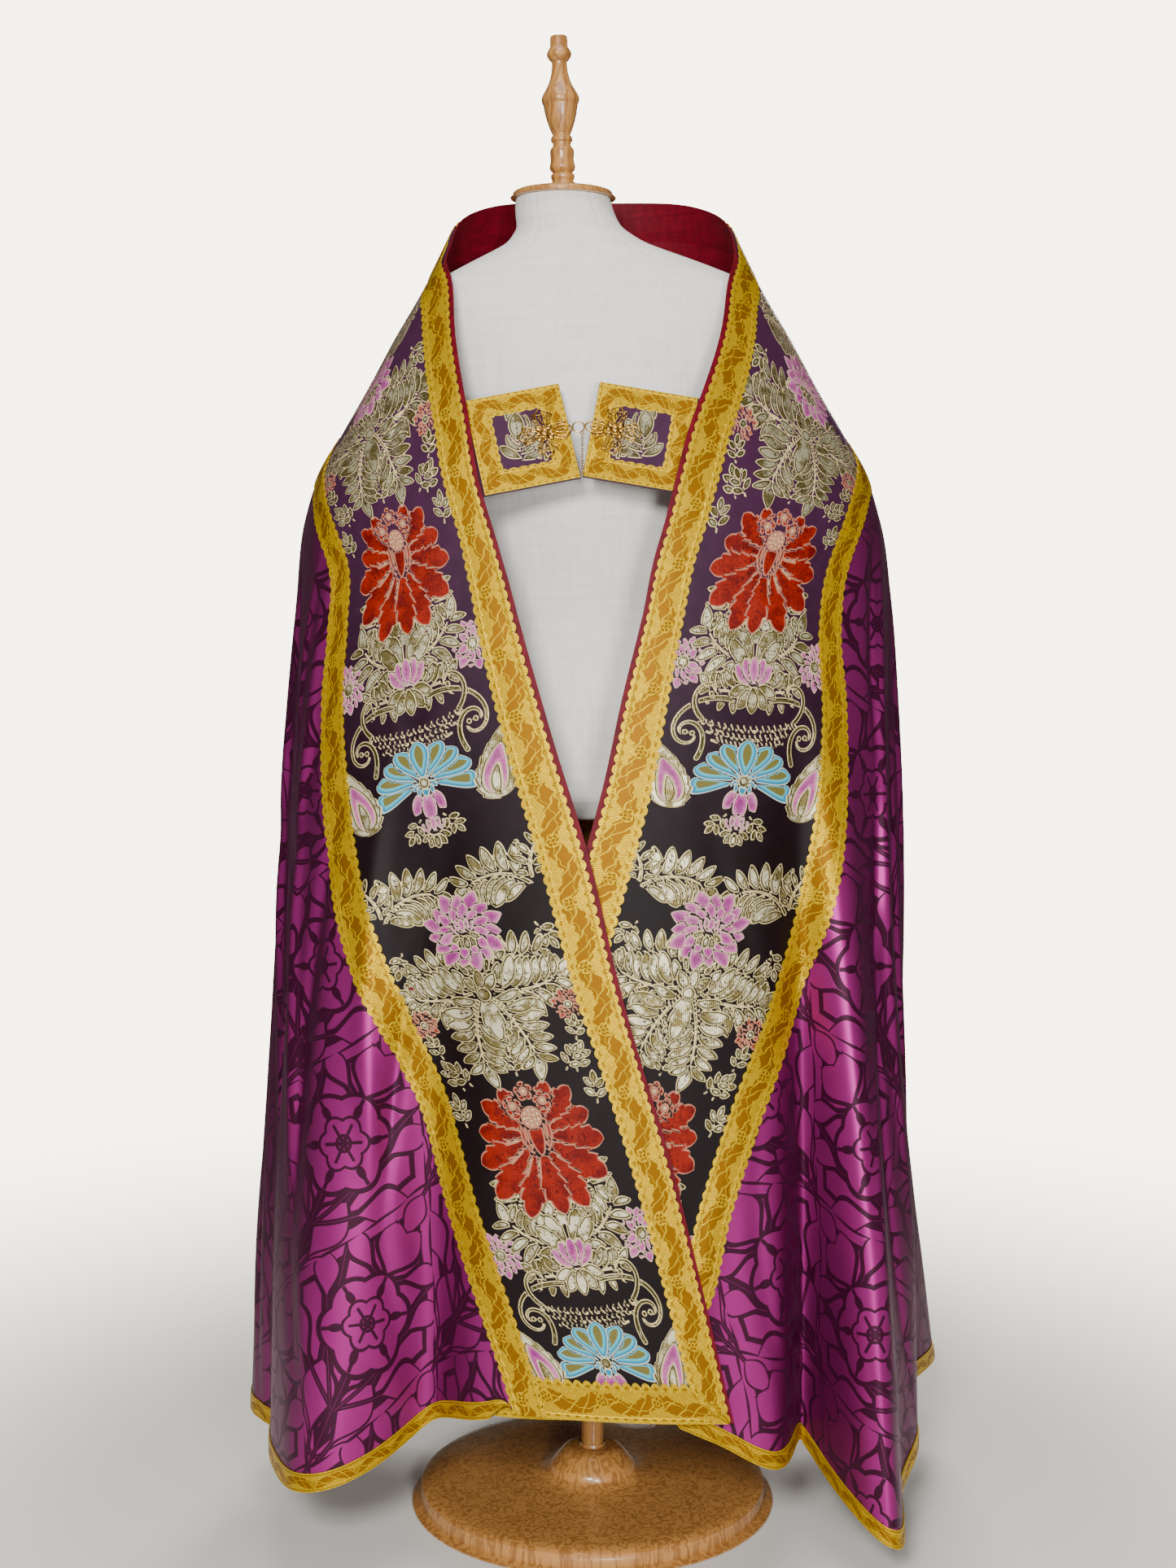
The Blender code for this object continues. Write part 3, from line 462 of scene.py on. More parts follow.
def dress(name: str, mesh: Mesh, material: Material, slot: str,
          node: str = "") -> bpy.types.Object:
    """Link a mesh as a piece that rides on the body.

    Args:
        name: the piece's name.
        mesh: its mesh.
        material: its finish.
        slot: the name of a material slot; not used.
        node: the CAD node that it stands for, or nothing.
    """
    piece = link(name, mesh, material)
    if node:
        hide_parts(node)
    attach(piece, BODY)
    return piece


def settle(mesh: Mesh, angle: float = 40.0) -> None:
    """Merge doubled corners, drop faces without area and shade smooth up to an angle."""
    shape = bmesh.new()
    shape.from_mesh(mesh)
    bmesh.ops.remove_doubles(shape, verts=shape.verts, dist=0.00001)
    bmesh.ops.dissolve_degenerate(shape, dist=0.00001, edges=shape.edges)
    shape.to_mesh(mesh)
    shape.free()
    smooth(mesh, angle)


def smooth(mesh: Mesh, angle: float) -> None:
    """Shade smooth, with edges sharper than an angle in degrees left sharp."""
    mesh.shade_smooth()
    mesh.set_sharp_from_angle(angle=math.radians(angle))


@dataclass
class Grid:
    """A cloth piece as a grid of stations by rows, ready to become a mesh.

    Attributes:
        points: places, stations by rows by 3.
        flat: places in the flat cut in metres, stations by rows by 2.
        marks: named values for each point, for the finishes.
    """

    points: Array
    flat: Array
    marks: dict[str, Array] = field(default_factory=dict)

    def framed(self, low: Array) -> "Grid":
        """Return the grid with its outline turned in down to the points of low."""
        def pad(values: Array) -> Array:
            """Repeat the outermost values once on every side."""
            width = ((1, 1), (1, 1)) + ((0, 0),) * (values.ndim - 2)
            return np.pad(values, width, mode="edge")
        points = pad(self.points)
        sunk = pad(low)
        rim = np.ones(points.shape[:2], dtype=bool)
        rim[1:-1, 1:-1] = False
        points[rim] = sunk[rim]
        return Grid(points, pad(self.flat), {name: pad(values) for name, values in self.marks.items()})

    def mesh(self, name: str, flip: bool = False) -> Mesh:
        """Return the grid as a mesh with its flat cut as UV map and its marks as attributes."""
        lines, rows = self.points.shape[:2]
        corner = np.arange(lines * rows).reshape(lines, rows)
        quads = np.stack([corner[:-1, :-1], corner[1:, :-1], corner[1:, 1:], corner[:-1, 1:]], axis=-1)
        quads = quads.reshape(-1, 4)
        if flip:
            quads = quads[:, ::-1]
        mesh = bpy.data.meshes.new(name)
        mesh.vertices.add(lines * rows)
        mesh.vertices.foreach_set("co", self.points.astype(np.float32).ravel())
        mesh.loops.add(quads.size)
        mesh.loops.foreach_set("vertex_index", quads.astype(np.int32).ravel())
        mesh.polygons.add(len(quads))
        mesh.polygons.foreach_set("loop_start", np.arange(0, quads.size, 4, dtype=np.int32))
        mesh.update(calc_edges=True)
        layer = mesh.uv_layers.new(name="flat_cut")
        layer.data.foreach_set("uv", self.flat.reshape(-1, 2)[quads.ravel()].astype(np.float32).ravel())
        for mark, values in self.marks.items():
            attribute = mesh.attributes.new(mark, "FLOAT", "POINT")
            attribute.data.foreach_set("value", values.astype(np.float32).ravel())
        return mesh


def joined_mesh(name: str, meshes: Sequence[Mesh]) -> Mesh:
    """Return several meshes as one."""
    shape = bmesh.new()
    for mesh in meshes:
        shape.from_mesh(mesh)
        bpy.data.meshes.remove(mesh)
    return finished(shape, name)


def lathe(name: str, profile: Sequence[Point], sides: int, rounding: int) -> Mesh:
    """Turn a profile of radius and height into a closed solid with rounded beads.

    Args:
        name: the mesh's name.
        profile: corners from the bottom's middle to the top's middle.
        sides: corners round the axis.
        rounding: how many smooth points stand between two corners of the profile.
    """
    corners = np.array(profile)
    padded = with_ends(corners)
    line = [corners[0]]
    for index in range(len(corners) - 1):
        four = padded[index:index + 4]
        flat = index in (0, len(corners) - 2)
        for step in range(1, rounding + 1):
            part = step / rounding
            straight = four[1] + (four[2] - four[1]) * part
            line.append(straight if flat else np.maximum(between(*four, part), 0.0))
    shape = bmesh.new()
    rings = []
    for radius, height in line:
        if radius < 1e-6:
            rings.append([shape.verts.new((0.0, 0.0, height))])
            continue
        rings.append([
            shape.verts.new((radius * math.cos(a), radius * math.sin(a), height))
            for a in (2 * math.pi * side / sides for side in range(sides))
        ])
    for low, high in zip(rings, rings[1:]):
        for side in range(sides):
            after = (side + 1) % sides
            corners = ((low, side), (low, after), (high, after), (high, side))
            face = [ring[turn % len(ring)] for ring, turn in corners]
            unique = list(dict.fromkeys(face))
            if len(unique) > 2:
                shape.faces.new(unique)
    bmesh.ops.recalc_face_normals(shape, faces=shape.faces)
    mesh = finished(shape, name)
    smooth(mesh, 38.0)
    return mesh


# Finishes

class Wire:
    """A shader socket that takes part in sums: each operator adds one Math node."""

    def __init__(self, graph: "Graph", socket: Socket) -> None:
        """Wrap a socket of a graph."""
        self.graph = graph
        self.socket = socket

    def _with(self, operation: str, *others: Union["Wire", Number]) -> "Wire":
        """Return this socket combined with others by a Math node."""
        return self.graph.math(operation, self, *others)

    def __add__(self, other: Union["Wire", Number]) -> "Wire":
        """Return the sum."""
        return self._with("ADD", other)

    __radd__ = __add__

    def __sub__(self, other: Union["Wire", Number]) -> "Wire":
        """Return the difference."""
        return self._with("SUBTRACT", other)

    def __rsub__(self, other: Number) -> "Wire":
        """Return a number less this."""
        return self.graph.math("SUBTRACT", other, self)

    def __mul__(self, other: Union["Wire", Number]) -> "Wire":
        """Return the product."""
        return self._with("MULTIPLY", other)

    __rmul__ = __mul__

    def __truediv__(self, other: Union["Wire", Number]) -> "Wire":
        """Return the quotient."""
        return self._with("DIVIDE", other)

    def __pow__(self, other: Number) -> "Wire":
        """Return the power."""
        return self._with("POWER", other)

    def __neg__(self) -> "Wire":
        """Return the negative."""
        return self._with("MULTIPLY", -1.0)

    def __abs__(self) -> "Wire":
        """Return the absolute value."""
        return self._with("ABSOLUTE")


Value = Union[Wire, Number]
Colour = tuple[float, float, float]


def whole(colour: object) -> object:
    """Return a colour with its alpha, or a socket as it is."""
    return (*colour, 1.0) if isinstance(colour, tuple) else colour


class Graph:
    """A material's node tree, built from expressions."""

    def __init__(self, name: str) -> None:
        """Start an empty material."""
        self.material = bpy.data.materials.new(name)
        self.material.use_nodes = True
        self.tree = self.material.node_tree
        self.tree.nodes.clear()

    def node(self, kind: str, settings: Optional[dict] = None,
             values: Optional[dict] = None) -> bpy.types.Node:
        """Add a node.

        Args:
            kind: the node's type.
            settings: attributes, set first.
            values: sockets by name or number, with a value or what is linked to them.
        """
        node = self.tree.nodes.new(kind)
        for key, value in (settings or {}).items():
            setattr(node, key, value)
        for key, value in (values or {}).items():
            if isinstance(value, Wire):
                self.tree.links.new(value.socket, node.inputs[key])
            elif isinstance(value, Socket):
                self.tree.links.new(value, node.inputs[key])
            else:
                node.inputs[key].default_value = value
        return node

    def wire(self, socket: Socket) -> Wire:
        """Wrap a socket."""
        return Wire(self, socket)

    def math(self, operation: str, *inputs: Value) -> Wire:
        """Add a Math node."""
        node = self.node("ShaderNodeMath", {"operation": operation}, dict(enumerate(inputs)))
        return self.wire(node.outputs[0])

    def sine(self, value: Value) -> Wire:
        """Return the sine."""
        return self.math("SINE", value)

    def cosine(self, value: Value) -> Wire:
        """Return the cosine."""
        return self.math("COSINE", value)

    def least(self, first: Value, *others: Value) -> Wire:
        """Return the least of some values."""
        for other in others:
            first = self.math("MINIMUM", first, other)
        return first

    def most(self, first: Value, *others: Value) -> Wire:
        """Return the greatest of some values."""
        for other in others:
            first = self.math("MAXIMUM", first, other)
        return first

    def rise(self, value: Value, low: float, high: float) -> Wire:
        """Return 0 at low, 1 at high and a smooth rise between."""
        node = self.node("ShaderNodeMapRange", {"interpolation_type": "SMOOTHSTEP"}, {
            "Value": value, "From Min": low, "From Max": high, "To Min": 0.0, "To Max": 1.0})
        return self.wire(node.outputs["Result"])

    def fold(self, value: Value, size: float) -> Wire:
        """Return a value folded back and forth between 0 and size."""
        return self.math("PINGPONG", value, size)

    def around(self, value: Value, size: float) -> Wire:
        """Return a value wrapped into the span of one repeat, centred on 0."""
        return self.math("WRAP", value, size / 2, -size / 2)

    def mix(self, first: object, second: object, factor: Value) -> Socket:
        """Return a colour between two colours or colour sockets."""
        node = self.node("ShaderNodeMix", {"data_type": "RGBA", "blend_type": "MIX"}, {
            0: factor, 6: whole(first), 7: whole(second)})
        return node.outputs[2]

    def tint(self, colour: object, by: Value) -> Socket:
        """Return a colour made lighter or darker by a value about 1."""
        return self.node("ShaderNodeVectorMath", {"operation": "SCALE"}, {0: colour, "Scale": by}).outputs[0]

    def flat_cut(self) -> tuple[Wire, Wire]:
        """Return the place in the piece's flat cut, in metres."""
        uv = self.node("ShaderNodeUVMap", {"uv_map": "flat_cut"})
        parts = self.node("ShaderNodeSeparateXYZ", None, {0: uv.outputs[0]})
        return self.wire(parts.outputs[0]), self.wire(parts.outputs[1])

    def place(self) -> tuple[Wire, Wire, Wire]:
        """Return the Object coordinates."""
        node = self.node("ShaderNodeTexCoord")
        parts = self.node("ShaderNodeSeparateXYZ", None, {0: node.outputs["Object"]})
        return tuple(self.wire(parts.outputs[index]) for index in range(3))

    def mark(self, name: str) -> Wire:
        """Return a named value of the piece."""
        node = self.node("ShaderNodeAttribute", {"attribute_name": name, "attribute_type": "GEOMETRY"})
        return self.wire(node.outputs["Fac"])

    def noise(self, scale: float, detail: float = 2.0, stretch: Optional[Colour] = None) -> Wire:
        """Return soft noise between 0 and 1 on Object coordinates, about 0.5.

        Args:
            scale: waves to the metre.
            detail: how many finer layers are added.
            stretch: factors on the three axes.
        """
        node = self.node("ShaderNodeTexCoord")
        where = node.outputs["Object"]
        if stretch:
            where = self.node("ShaderNodeMapping", None, {"Vector": where, "Scale": stretch}).outputs[0]
        noise = self.node("ShaderNodeTexNoise", None, {"Vector": where, "Scale": scale, "Detail": detail})
        return self.wire(noise.outputs["Fac"])

    def bump(self, height: Value, distance: float, strength: float) -> Socket:
        """Return a normal bent by a height in units of distance metres."""
        return self.node("ShaderNodeBump", None, {
            "Height": height, "Distance": distance, "Strength": strength}).outputs[0]

    def cloth(self, colour: object, roughness: Value, normal: Optional[Socket] = None,
              **constants: object) -> bpy.types.Node:
        """Add a Principled shader.

        Args:
            colour: a colour or its socket.
            roughness: a value or its socket.
            normal: the bent normal.
            constants: other sockets by name, with _ for a space, set to one value.
        """
        values = {"Base Color": whole(colour), "Roughness": roughness}
        if normal is not None:
            values["Normal"] = normal
        for key, value in constants.items():
            values[key.replace("_", " ")] = value
        return self.node("ShaderNodeBsdfPrincipled", None, values)

    def finish(self, shader: bpy.types.Node, show: Colour) -> Material:
        """Link the last shader to the output and return the material."""
        output = self.node("ShaderNodeOutputMaterial")
        self.tree.links.new(shader.outputs[0], output.inputs[0])
        self.material.diffuse_color = (*show, 1.0)
        return self.material


@dataclass(frozen=True)
class Damask:
    """Figured satin in two tones of one colour, with rosettes in an ogival net.

    Attributes:
        satin: colour of the bright satin where it faces the eye.
        painted_grazing_shade: a darker copy of the satin, a painted shade laid on where the surface turns
            away from the eye.
        ground: colour of the dull lines.
        across: width of the net's cell in metres.
        down: height of the cell.
        ground_width: how far the satin islands stay from the figure.
    """

    satin: Colour = (0.330, 0.020, 0.190)
    painted_grazing_shade: Colour = (0.070, 0.0025, 0.036)
    ground: Colour = (0.038, 0.0010, 0.0185)
    across: float = 0.230
    down: float = 0.330
    ground_width: float = 0.0062

    # Foot, direction in degrees, length, width, notch in the tip, and line left round it
    LEAVES = (
        ((0.004, -0.150), 28.0, 0.060, 0.026, 0.0, 0.0026),
        ((0.014, -0.128), 76.0, 0.074, 0.038, 0.0, 0.0030),
        ((0.050, -0.062), 36.0, 0.064, 0.036, 0.004, 0.0030),
        ((0.024, 0.060), 30.0, 0.050, 0.024, 0.003, 0.0028),
        ((0.060, 0.010), 62.0, 0.050, 0.028, 0.003, 0.0028),
        ((0.0, 0.100), 90.0, 0.052, 0.026, 0.0, 0.0028),
        ((0.0, 0.058), 74.0, 0.060, 0.036, 0.003, 0.0030),
    )

    def over(self, g: Graph, under: Wire, shape: Wire, gap: float) -> Wire:
        """Lay one shape over others, with a dark line of the gap's width round it."""
        return g.most(g.least(under, -shape - gap), shape)

    def petal(self, g: Graph, x: Wire, y: Wire, base: Point, angle: float,
              length: float, width: float, notch: float = 0.0) -> Wire:
        """Return how deep a point lies in a leaf or petal, in metres.

        Args:
            g: the material's graph.
            x: place across.
            y: place up.
            base: where the petal grows from.
            angle: its direction in degrees.
            length: its length.
            width: its width.
            notch: how heart-shaped its tip is.
        """
        turn = math.radians(angle)
        away, side = x - base[0], y - base[1]
        along = (away * math.cos(turn) + side * math.sin(turn)) / length
        off = abs(side * math.cos(turn) - away * math.sin(turn))
        form = g.sine(g.math("POWER", g.least(g.most(along, 0.0), 1.0), 1.35) * math.pi)
        edge = form * (width / 2) - off
        if notch:
            edge = g.least(edge, (1.0 - along) * length + off * 0.9 - notch)
        return edge

    def figure(self, g: Graph, u: Wire, v: Wire) -> Wire:
        """Return how deep a point lies in the satin figure, in metres."""
        half, drop = self.across / 2, self.down / 2
        near_x = g.fold(u, half)
        near_y = g.around(v, self.down)
        far_y = g.around(v + drop, self.down)
        first = g.math("LESS_THAN", near_x / half + abs(near_y) / drop, 1.0)
        x = near_x * first + (half - near_x) * (1.0 - first)
        y = near_y * first + far_y * (1.0 - first)
        net = (1.0 - (x / half + abs(y) / drop)) * (half * drop / math.hypot(half, drop))
        radius = g.math("SQRT", x * x + y * y)
        turn = g.math("ARCTAN2", x, y)
        shape = 0.0052 - abs(net - 0.0060 - 0.0028 * g.cosine(y * (6 * math.pi / self.down)))
        for base, angle, length, width, notch, gap in self.LEAVES:
            shape = self.over(g, shape, self.petal(g, x, y, base, angle, length, width, notch), gap)
        outer = 0.0470 + abs(g.cosine(turn * 3.0)) * 0.0080 - radius
        spoke = g.sine(turn * 3.0) * radius * 0.333
        gaps = abs(spoke) - 0.0024
        drops = 0.0050 - g.math("SQRT", (radius - 0.0385) ** 2 * 0.30 + spoke ** 2)
        ring = g.least(outer, gaps, -drops)
        inner = 0.0225 + abs(g.cosine(turn * 3.0)) * 0.0060 - radius
        slits = g.most(abs(spoke) - 0.0019, radius - 0.0230)
        shape = self.over(g, shape, outer, 0.0046)
        shape = g.least(shape, g.most(ring, -outer))
        shape = self.over(g, shape, g.least(inner, slits), 0.0040)
        eye = abs(radius - 0.0082) - 0.0020
        return g.least(shape, eye)

    def material(self) -> Material:
        """Build the finish."""
        g = Graph("figured_damask")
        u, v = g.flat_cut()
        sway = (g.noise(9.0, 1.0) - 0.5) * 0.010
        shape = self.figure(g, u + sway, v + sway)
        shape = g.most(shape + 0.0002, -shape - self.ground_width)
        figure = g.rise(shape, -0.0004, 0.0006)
        mottle = g.noise(30.0, 3.0) * 0.28 + 0.86
        threads = g.sine(u * 5200.0) * 0.5 + g.sine(v * 5200.0) * 0.5
        height = figure * 0.55 + threads * 0.10
        normal = g.bump(height, 0.0006, 0.35)
        satin = g.cloth(g.tint(self.satin, mottle), 0.40, normal, Metallic=0.62, Sheen_Weight=0.03,
                        Sheen_Roughness=0.35, Sheen_Tint=(0.95, 0.25, 0.75, 1.0), Specular_IOR_Level=0.30)
        ground = g.cloth(g.tint(self.ground, mottle), 0.50, normal, Metallic=0.30, Sheen_Weight=0.05,
                         Sheen_Roughness=0.45, Sheen_Tint=(0.85, 0.20, 0.65, 1.0), Specular_IOR_Level=0.25)
        # Painted shade: the Layer Weight facing mixes in a darker copy of the satin, so the satin is painted
        # darker where the surface turns away from the eye
        turned = g.node("ShaderNodeLayerWeight", None, {"Blend": 0.5}).outputs["Facing"]
        painted_grazing_shade = g.cloth(g.tint(self.painted_grazing_shade, mottle), 0.42, normal, Metallic=0.50, Specular_IOR_Level=0.20)
        away = g.rise(g.wire(turned), 0.16, 0.74) * 0.88
        satin = g.node("ShaderNodeMixShader", None, {0: away, 1: satin.outputs[0], 2: painted_grazing_shade.outputs[0]})
        both = g.node("ShaderNodeMixShader", None, {0: figure, 1: ground.outputs[0], 2: satin.outputs[0]})
        return g.finish(both, self.satin)


@dataclass(frozen=True)
class Brocade:
    """Dark satin with flowers and leaves brocaded in silk and metal thread.

    The piece's marks say how deep a point lies in each kind of thread, in millimetres. Its ground is painted
    lighter towards the top of the band than lower down, a painted light on the upper part.
    """

    # Ground colours at the top and at the bottom of the band: a painted light that makes the top lighter
    high: Colour = (0.046, 0.011, 0.038)
    low: Colour = (0.0065, 0.0022, 0.0034)

    def material(self) -> Material:
        """Build the finish."""
        g = Graph("flowered_brocade")
        u, v = g.flat_cut()
        _x, _y, z = g.place()
        leaf, red, blue, pink, vein = (g.mark(name) for name in ("leaf", "red", "blue", "pink", "vein"))
        mottle = g.noise(60.0, 3.0)
        fine = g.noise(420.0, 2.0)
        # Painted light: the ground is lighter towards the top of the band, standing in for light falling on
        # the upper part; the same height share makes the upper leaves more olive
        upper = g.rise(z + (mottle - 0.5) * 0.10, 0.78, 1.28)
        ground = g.mix(self.low, self.high, upper)
        ground = g.tint(ground, mottle * 0.5 + 0.75)
        line = g.rise(vein, 0.0, 0.35)
        silver = g.mix((0.20, 0.155, 0.050), (0.82, 0.75, 0.50), g.rise(mottle + fine * 0.3, 0.52, 0.76))
        olive = g.mix((0.040, 0.033, 0.006), silver, g.rise(leaf, 1.9, 3.2) * (1.0 - upper * 0.50))
        olive = g.mix(olive, (0.022, 0.010, 0.016), line * 0.92)
        ruby = g.mix((0.105, 0.0004, 0.001), (0.27, 0.009, 0.001), g.rise(mottle + fine * 0.5, 0.50, 0.95))
        ruby = g.mix(ruby, (0.030, 0.0005, 0.001), line * 0.75)
        water = g.mix((0.012, 0.20, 0.36), (0.08, 0.42, 0.52), g.rise(blue, 2.6, 5.0))
        water = g.mix(water, (0.15, 0.13, 0.03), g.rise(blue, 6.2, 7.0))
        water = g.mix(water, (0.55, 0.62, 0.52), line * 0.7)
        rose = g.mix((0.36, 0.045, 0.23), (0.55, 0.16, 0.34), g.rise(mottle + fine * 0.4, 0.48, 0.88))
        rose = g.mix(rose, (0.13, 0.012, 0.11), g.most(line * 0.7, g.rise(pink, 3.4, 5.2) * 0.5))
        colour = ground
        for mark, rim, fill, start, stop in (
            (leaf, (0.68, 0.56, 0.27), olive, 0.8, 1.5), (red, (0.44, 0.18, 0.11), ruby, 1.2, 2.3),
            (blue, (0.50, 0.58, 0.50), water, 1.0, 1.7), (pink, (0.60, 0.42, 0.33), rose, 0.9, 1.6),
        ):
            thread = g.mix(rim, fill, g.rise(mark, start, stop))
            colour = g.mix(colour, thread, g.rise(mark, -0.3, 0.3))
        depth = g.most(leaf, red, blue, pink)
        raised = g.rise(depth, -0.4, 1.0)
        ribs = g.sine((u + v * 0.35) * 2600.0)
        threads = g.sine(u * 4200.0) * 0.3 + g.sine(v * 4200.0) * 0.3
        height = raised * 1.0 + raised * ribs * 0.12 + (1.0 - raised) * threads * 0.12 - line * raised * 0.35
        normal = g.bump(height + fine * 0.15, 0.0008, 0.6)
        metal = g.rise(leaf, 0.0, 1.0) * 0.45
        shader = g.cloth(colour, 0.50 - metal * 0.25, normal, Metallic=metal, Sheen_Weight=0.03,
                         Sheen_Roughness=0.4, Sheen_Tint=(0.85, 0.35, 0.80, 1.0), Specular_IOR_Level=0.16)
        return g.finish(shader, self.high)


@dataclass(frozen=True)
class Galloon:
    """Woven gold trim: scalloped lace edges, a waved satin ribbon and flowers of dots.

    Attributes:
        name: the material's name.
        width: the trim's width in metres.
        repeat: length of one wave.
        scallop: length of one scallop.
        pale: colour of the lace.
        bright: colour of the bright threads, laid at random and along the ribbon's slanted lines, and a
            painted highlight on the raised cords and the ribbon's raised ribs.
        deep: colour of the dots and ovals, and a painted shade on the ribbon between its raised ribs.
    """

    name: str = "gold_galloon"
    width: float = GALLOON_WIDTH
    repeat: float = 0.072
    scallop: float = 0.0125
    pale: Colour = (0.47, 0.275, 0.0)
    bright: Colour = (0.82, 0.57, 0.001)
    deep: Colour = (0.245, 0.103, 0.0)

    def material(self) -> Material:
        """Build the finish."""
        g = Graph(self.name)
        u, v = g.flat_cut()
        side = v / self.width - 0.5
        wave = u * (2 * math.pi / self.repeat)
        middle = g.sine(wave) * 0.115
        serration = abs(g.sine(u * (math.pi / (self.repeat / 9)))) * 0.035
        reach = 0.185 + g.cosine(wave * 2.0) * 0.030 + serration
        ribbon_depth = reach - abs(side - middle)
        ribbon = g.rise(ribbon_depth, -0.004, 0.012)
        rib_line = g.rise(0.014 - abs(side - middle * 0.2 - g.sine(wave + 1.2) * 0.13), 0.0, 0.010)
        along = g.around(u - self.repeat * 0.25, self.repeat)
        across = (side - 0.115) * self.width + 0.001
        radius = g.math("SQRT", along * along + across * across)
        turn = g.math("ARCTAN2", along, across)
        petal_turn = g.around(turn, math.pi / 3)
        scale = self.width / GALLOON_WIDTH
        ring = g.math("SQRT", (radius * g.cosine(petal_turn) - 0.0046 * scale) ** 2
                      + (radius * g.sine(petal_turn)) ** 2)
        dots = g.rise(0.0017 * scale - g.least(ring, radius), -0.0002, 0.0003)
        patch = g.rise(0.0082 * scale - radius, -0.0003, 0.0006)
        ribbon = ribbon * (1.0 - patch)
        edge = abs(side)
        oval_run = g.around(u, self.scallop)
        oval = (oval_run / (self.scallop * 0.26)) ** 2
        ovals = g.rise(1.0 - oval - ((edge - 0.400) / 0.034) ** 2, 0.0, 0.4)
        cord = g.sine(u * (2 * math.pi / 0.0021) + side * 30.0)
        lace = g.rise(edge, 0.33, 0.38)
        noise = g.noise(500.0, 2.0)
        # Painted highlight: the lace and ground are brighter on their raised cords, with bright threads at
        # random from the noise
        base = g.mix(self.pale, self.bright, g.rise(noise + cord * 0.12, 0.42, 0.72) * (lace * 0.55 + 0.45))
        # Painted light: the ribbon is bright on its raised ribs and painted in the deep colour as shade
        # between them; its slanted lines are bright thread
        slant = g.sine(u * (2 * math.pi / (self.repeat * 0.25)) + (side - middle) * 15.0)
        satin = g.mix(self.deep, self.bright, g.most(rib_line, g.rise(slant, 0.86, 0.99) * 0.6) * 0.85)
        colour = g.mix(base, satin, ribbon)
        colour = g.mix(colour, self.deep, g.most(dots, ovals * 0.8))
        height = lace * 0.7 + cord * 0.10 * (1.0 - ribbon) + (1.0 - ribbon) * 0.5 + rib_line * 0.4
        height = height - dots * 0.6 - ovals * 0.7 + noise * 0.15
        normal = g.bump(height, 0.0009, 0.75)
        shader = g.cloth(colour, 0.42 + ribbon * 0.06, normal, Metallic=0.45, Specular_IOR_Level=0.10)
        return g.finish(shader, self.pale)


@dataclass(frozen=True)
class PlainCloth:
    """A plain weave or satin in one colour.

    Attributes:
        name: the material's name.
        colour: the cloth's colour.
        shade: the darker colour, painted where the weave and its slubs lie low: a painted shade in the
            hollows, and a mottled tone.
        threads: threads to the metre.
        roughness: its roughness.
        sheen: the weight of its sheen.
        relief: how strong the weave shows.
    """

    name: str
    colour: Colour
    shade: Colour
    threads: float
    roughness: float
    sheen: float
    relief: float

    def material(self) -> Material:
        """Build the finish."""
        g = Graph(self.name)
        x, y, z = g.place()
        turn = g.math("ARCTAN2", x, y) * 0.2
        slub = g.noise(160.0, 3.0, (1.0, 1.0, 0.06)) * 0.5 + g.noise(160.0, 3.0, (0.06, 0.06, 1.0)) * 0.5
        weave = g.sine(turn * self.threads) * 0.5 + g.sine(z * self.threads) * 0.5
        # Painted shade: the colour darkens where the weave and slub relief lie low, the same values that sink
        # the bump; the slubs also mottle the tone
        colour = g.mix(self.shade, self.colour, g.rise(slub + weave * 0.06, 0.30, 0.62))
        normal = g.bump(weave * 0.5 + slub, 0.0006, self.relief)
        shader = g.cloth(colour, self.roughness, normal, Sheen_Weight=self.sheen, Sheen_Roughness=0.5,
                         Specular_IOR_Level=0.15)
        return g.finish(shader, self.colour)


LINING = PlainCloth(
    "crimson_lining", colour=(0.15, 0.0022, 0.012), shade=(0.085, 0.001, 0.006),
    threads=3600.0, roughness=0.50, sheen=0.01, relief=0.25)
GOLD_THREAD = PlainCloth(
    "gold_thread", colour=(0.62, 0.30, 0.004), shade=(0.40, 0.17, 0.002),
    threads=900.0, roughness=0.4, sheen=0.0, relief=0.1)
CRIMSON_THREAD = PlainCloth(
    "crimson_thread", colour=(0.05, 0.0008, 0.004), shade=(0.03, 0.0005, 0.002),
    threads=900.0, roughness=0.5, sheen=0.0, relief=0.1)
LINEN = PlainCloth(
    "linen_cover", colour=(0.90, 0.885, 0.84), shade=(0.80, 0.78, 0.73),
    threads=5200.0, roughness=0.85, sheen=0.2, relief=0.35)


@dataclass(frozen=True)
class Wood:
    """Clear-varnished turned wood with its grain upright."""

    light: Colour = (0.50, 0.235, 0.062)
    dark: Colour = (0.27, 0.105, 0.022)

    def material(self) -> Material:
        """Build the finish."""
        g = Graph("varnished_wood")
        grain = g.noise(46.0, 5.0, (1.0, 1.0, 0.07))
        pores = g.noise(420.0, 2.0, (1.0, 1.0, 0.05))
        rings = g.sine(grain * 46.0) * 0.5 + 0.5
        colour = g.mix(self.light, self.dark, g.rise(rings * 0.6 + grain * 0.5, 0.35, 1.05))
        colour = g.mix(colour, self.dark, g.rise(pores, 0.60, 0.72) * 0.5)
        normal = g.bump(rings * 0.4 - g.rise(pores, 0.6, 0.7) * 0.4, 0.0004, 0.25)
        shader = g.cloth(colour, g.rise(grain, 0.3, 0.7) * 0.12 + 0.30, normal, Coat_Weight=0.45,
                         Coat_Roughness=0.12)
        return g.finish(shader, self.light)


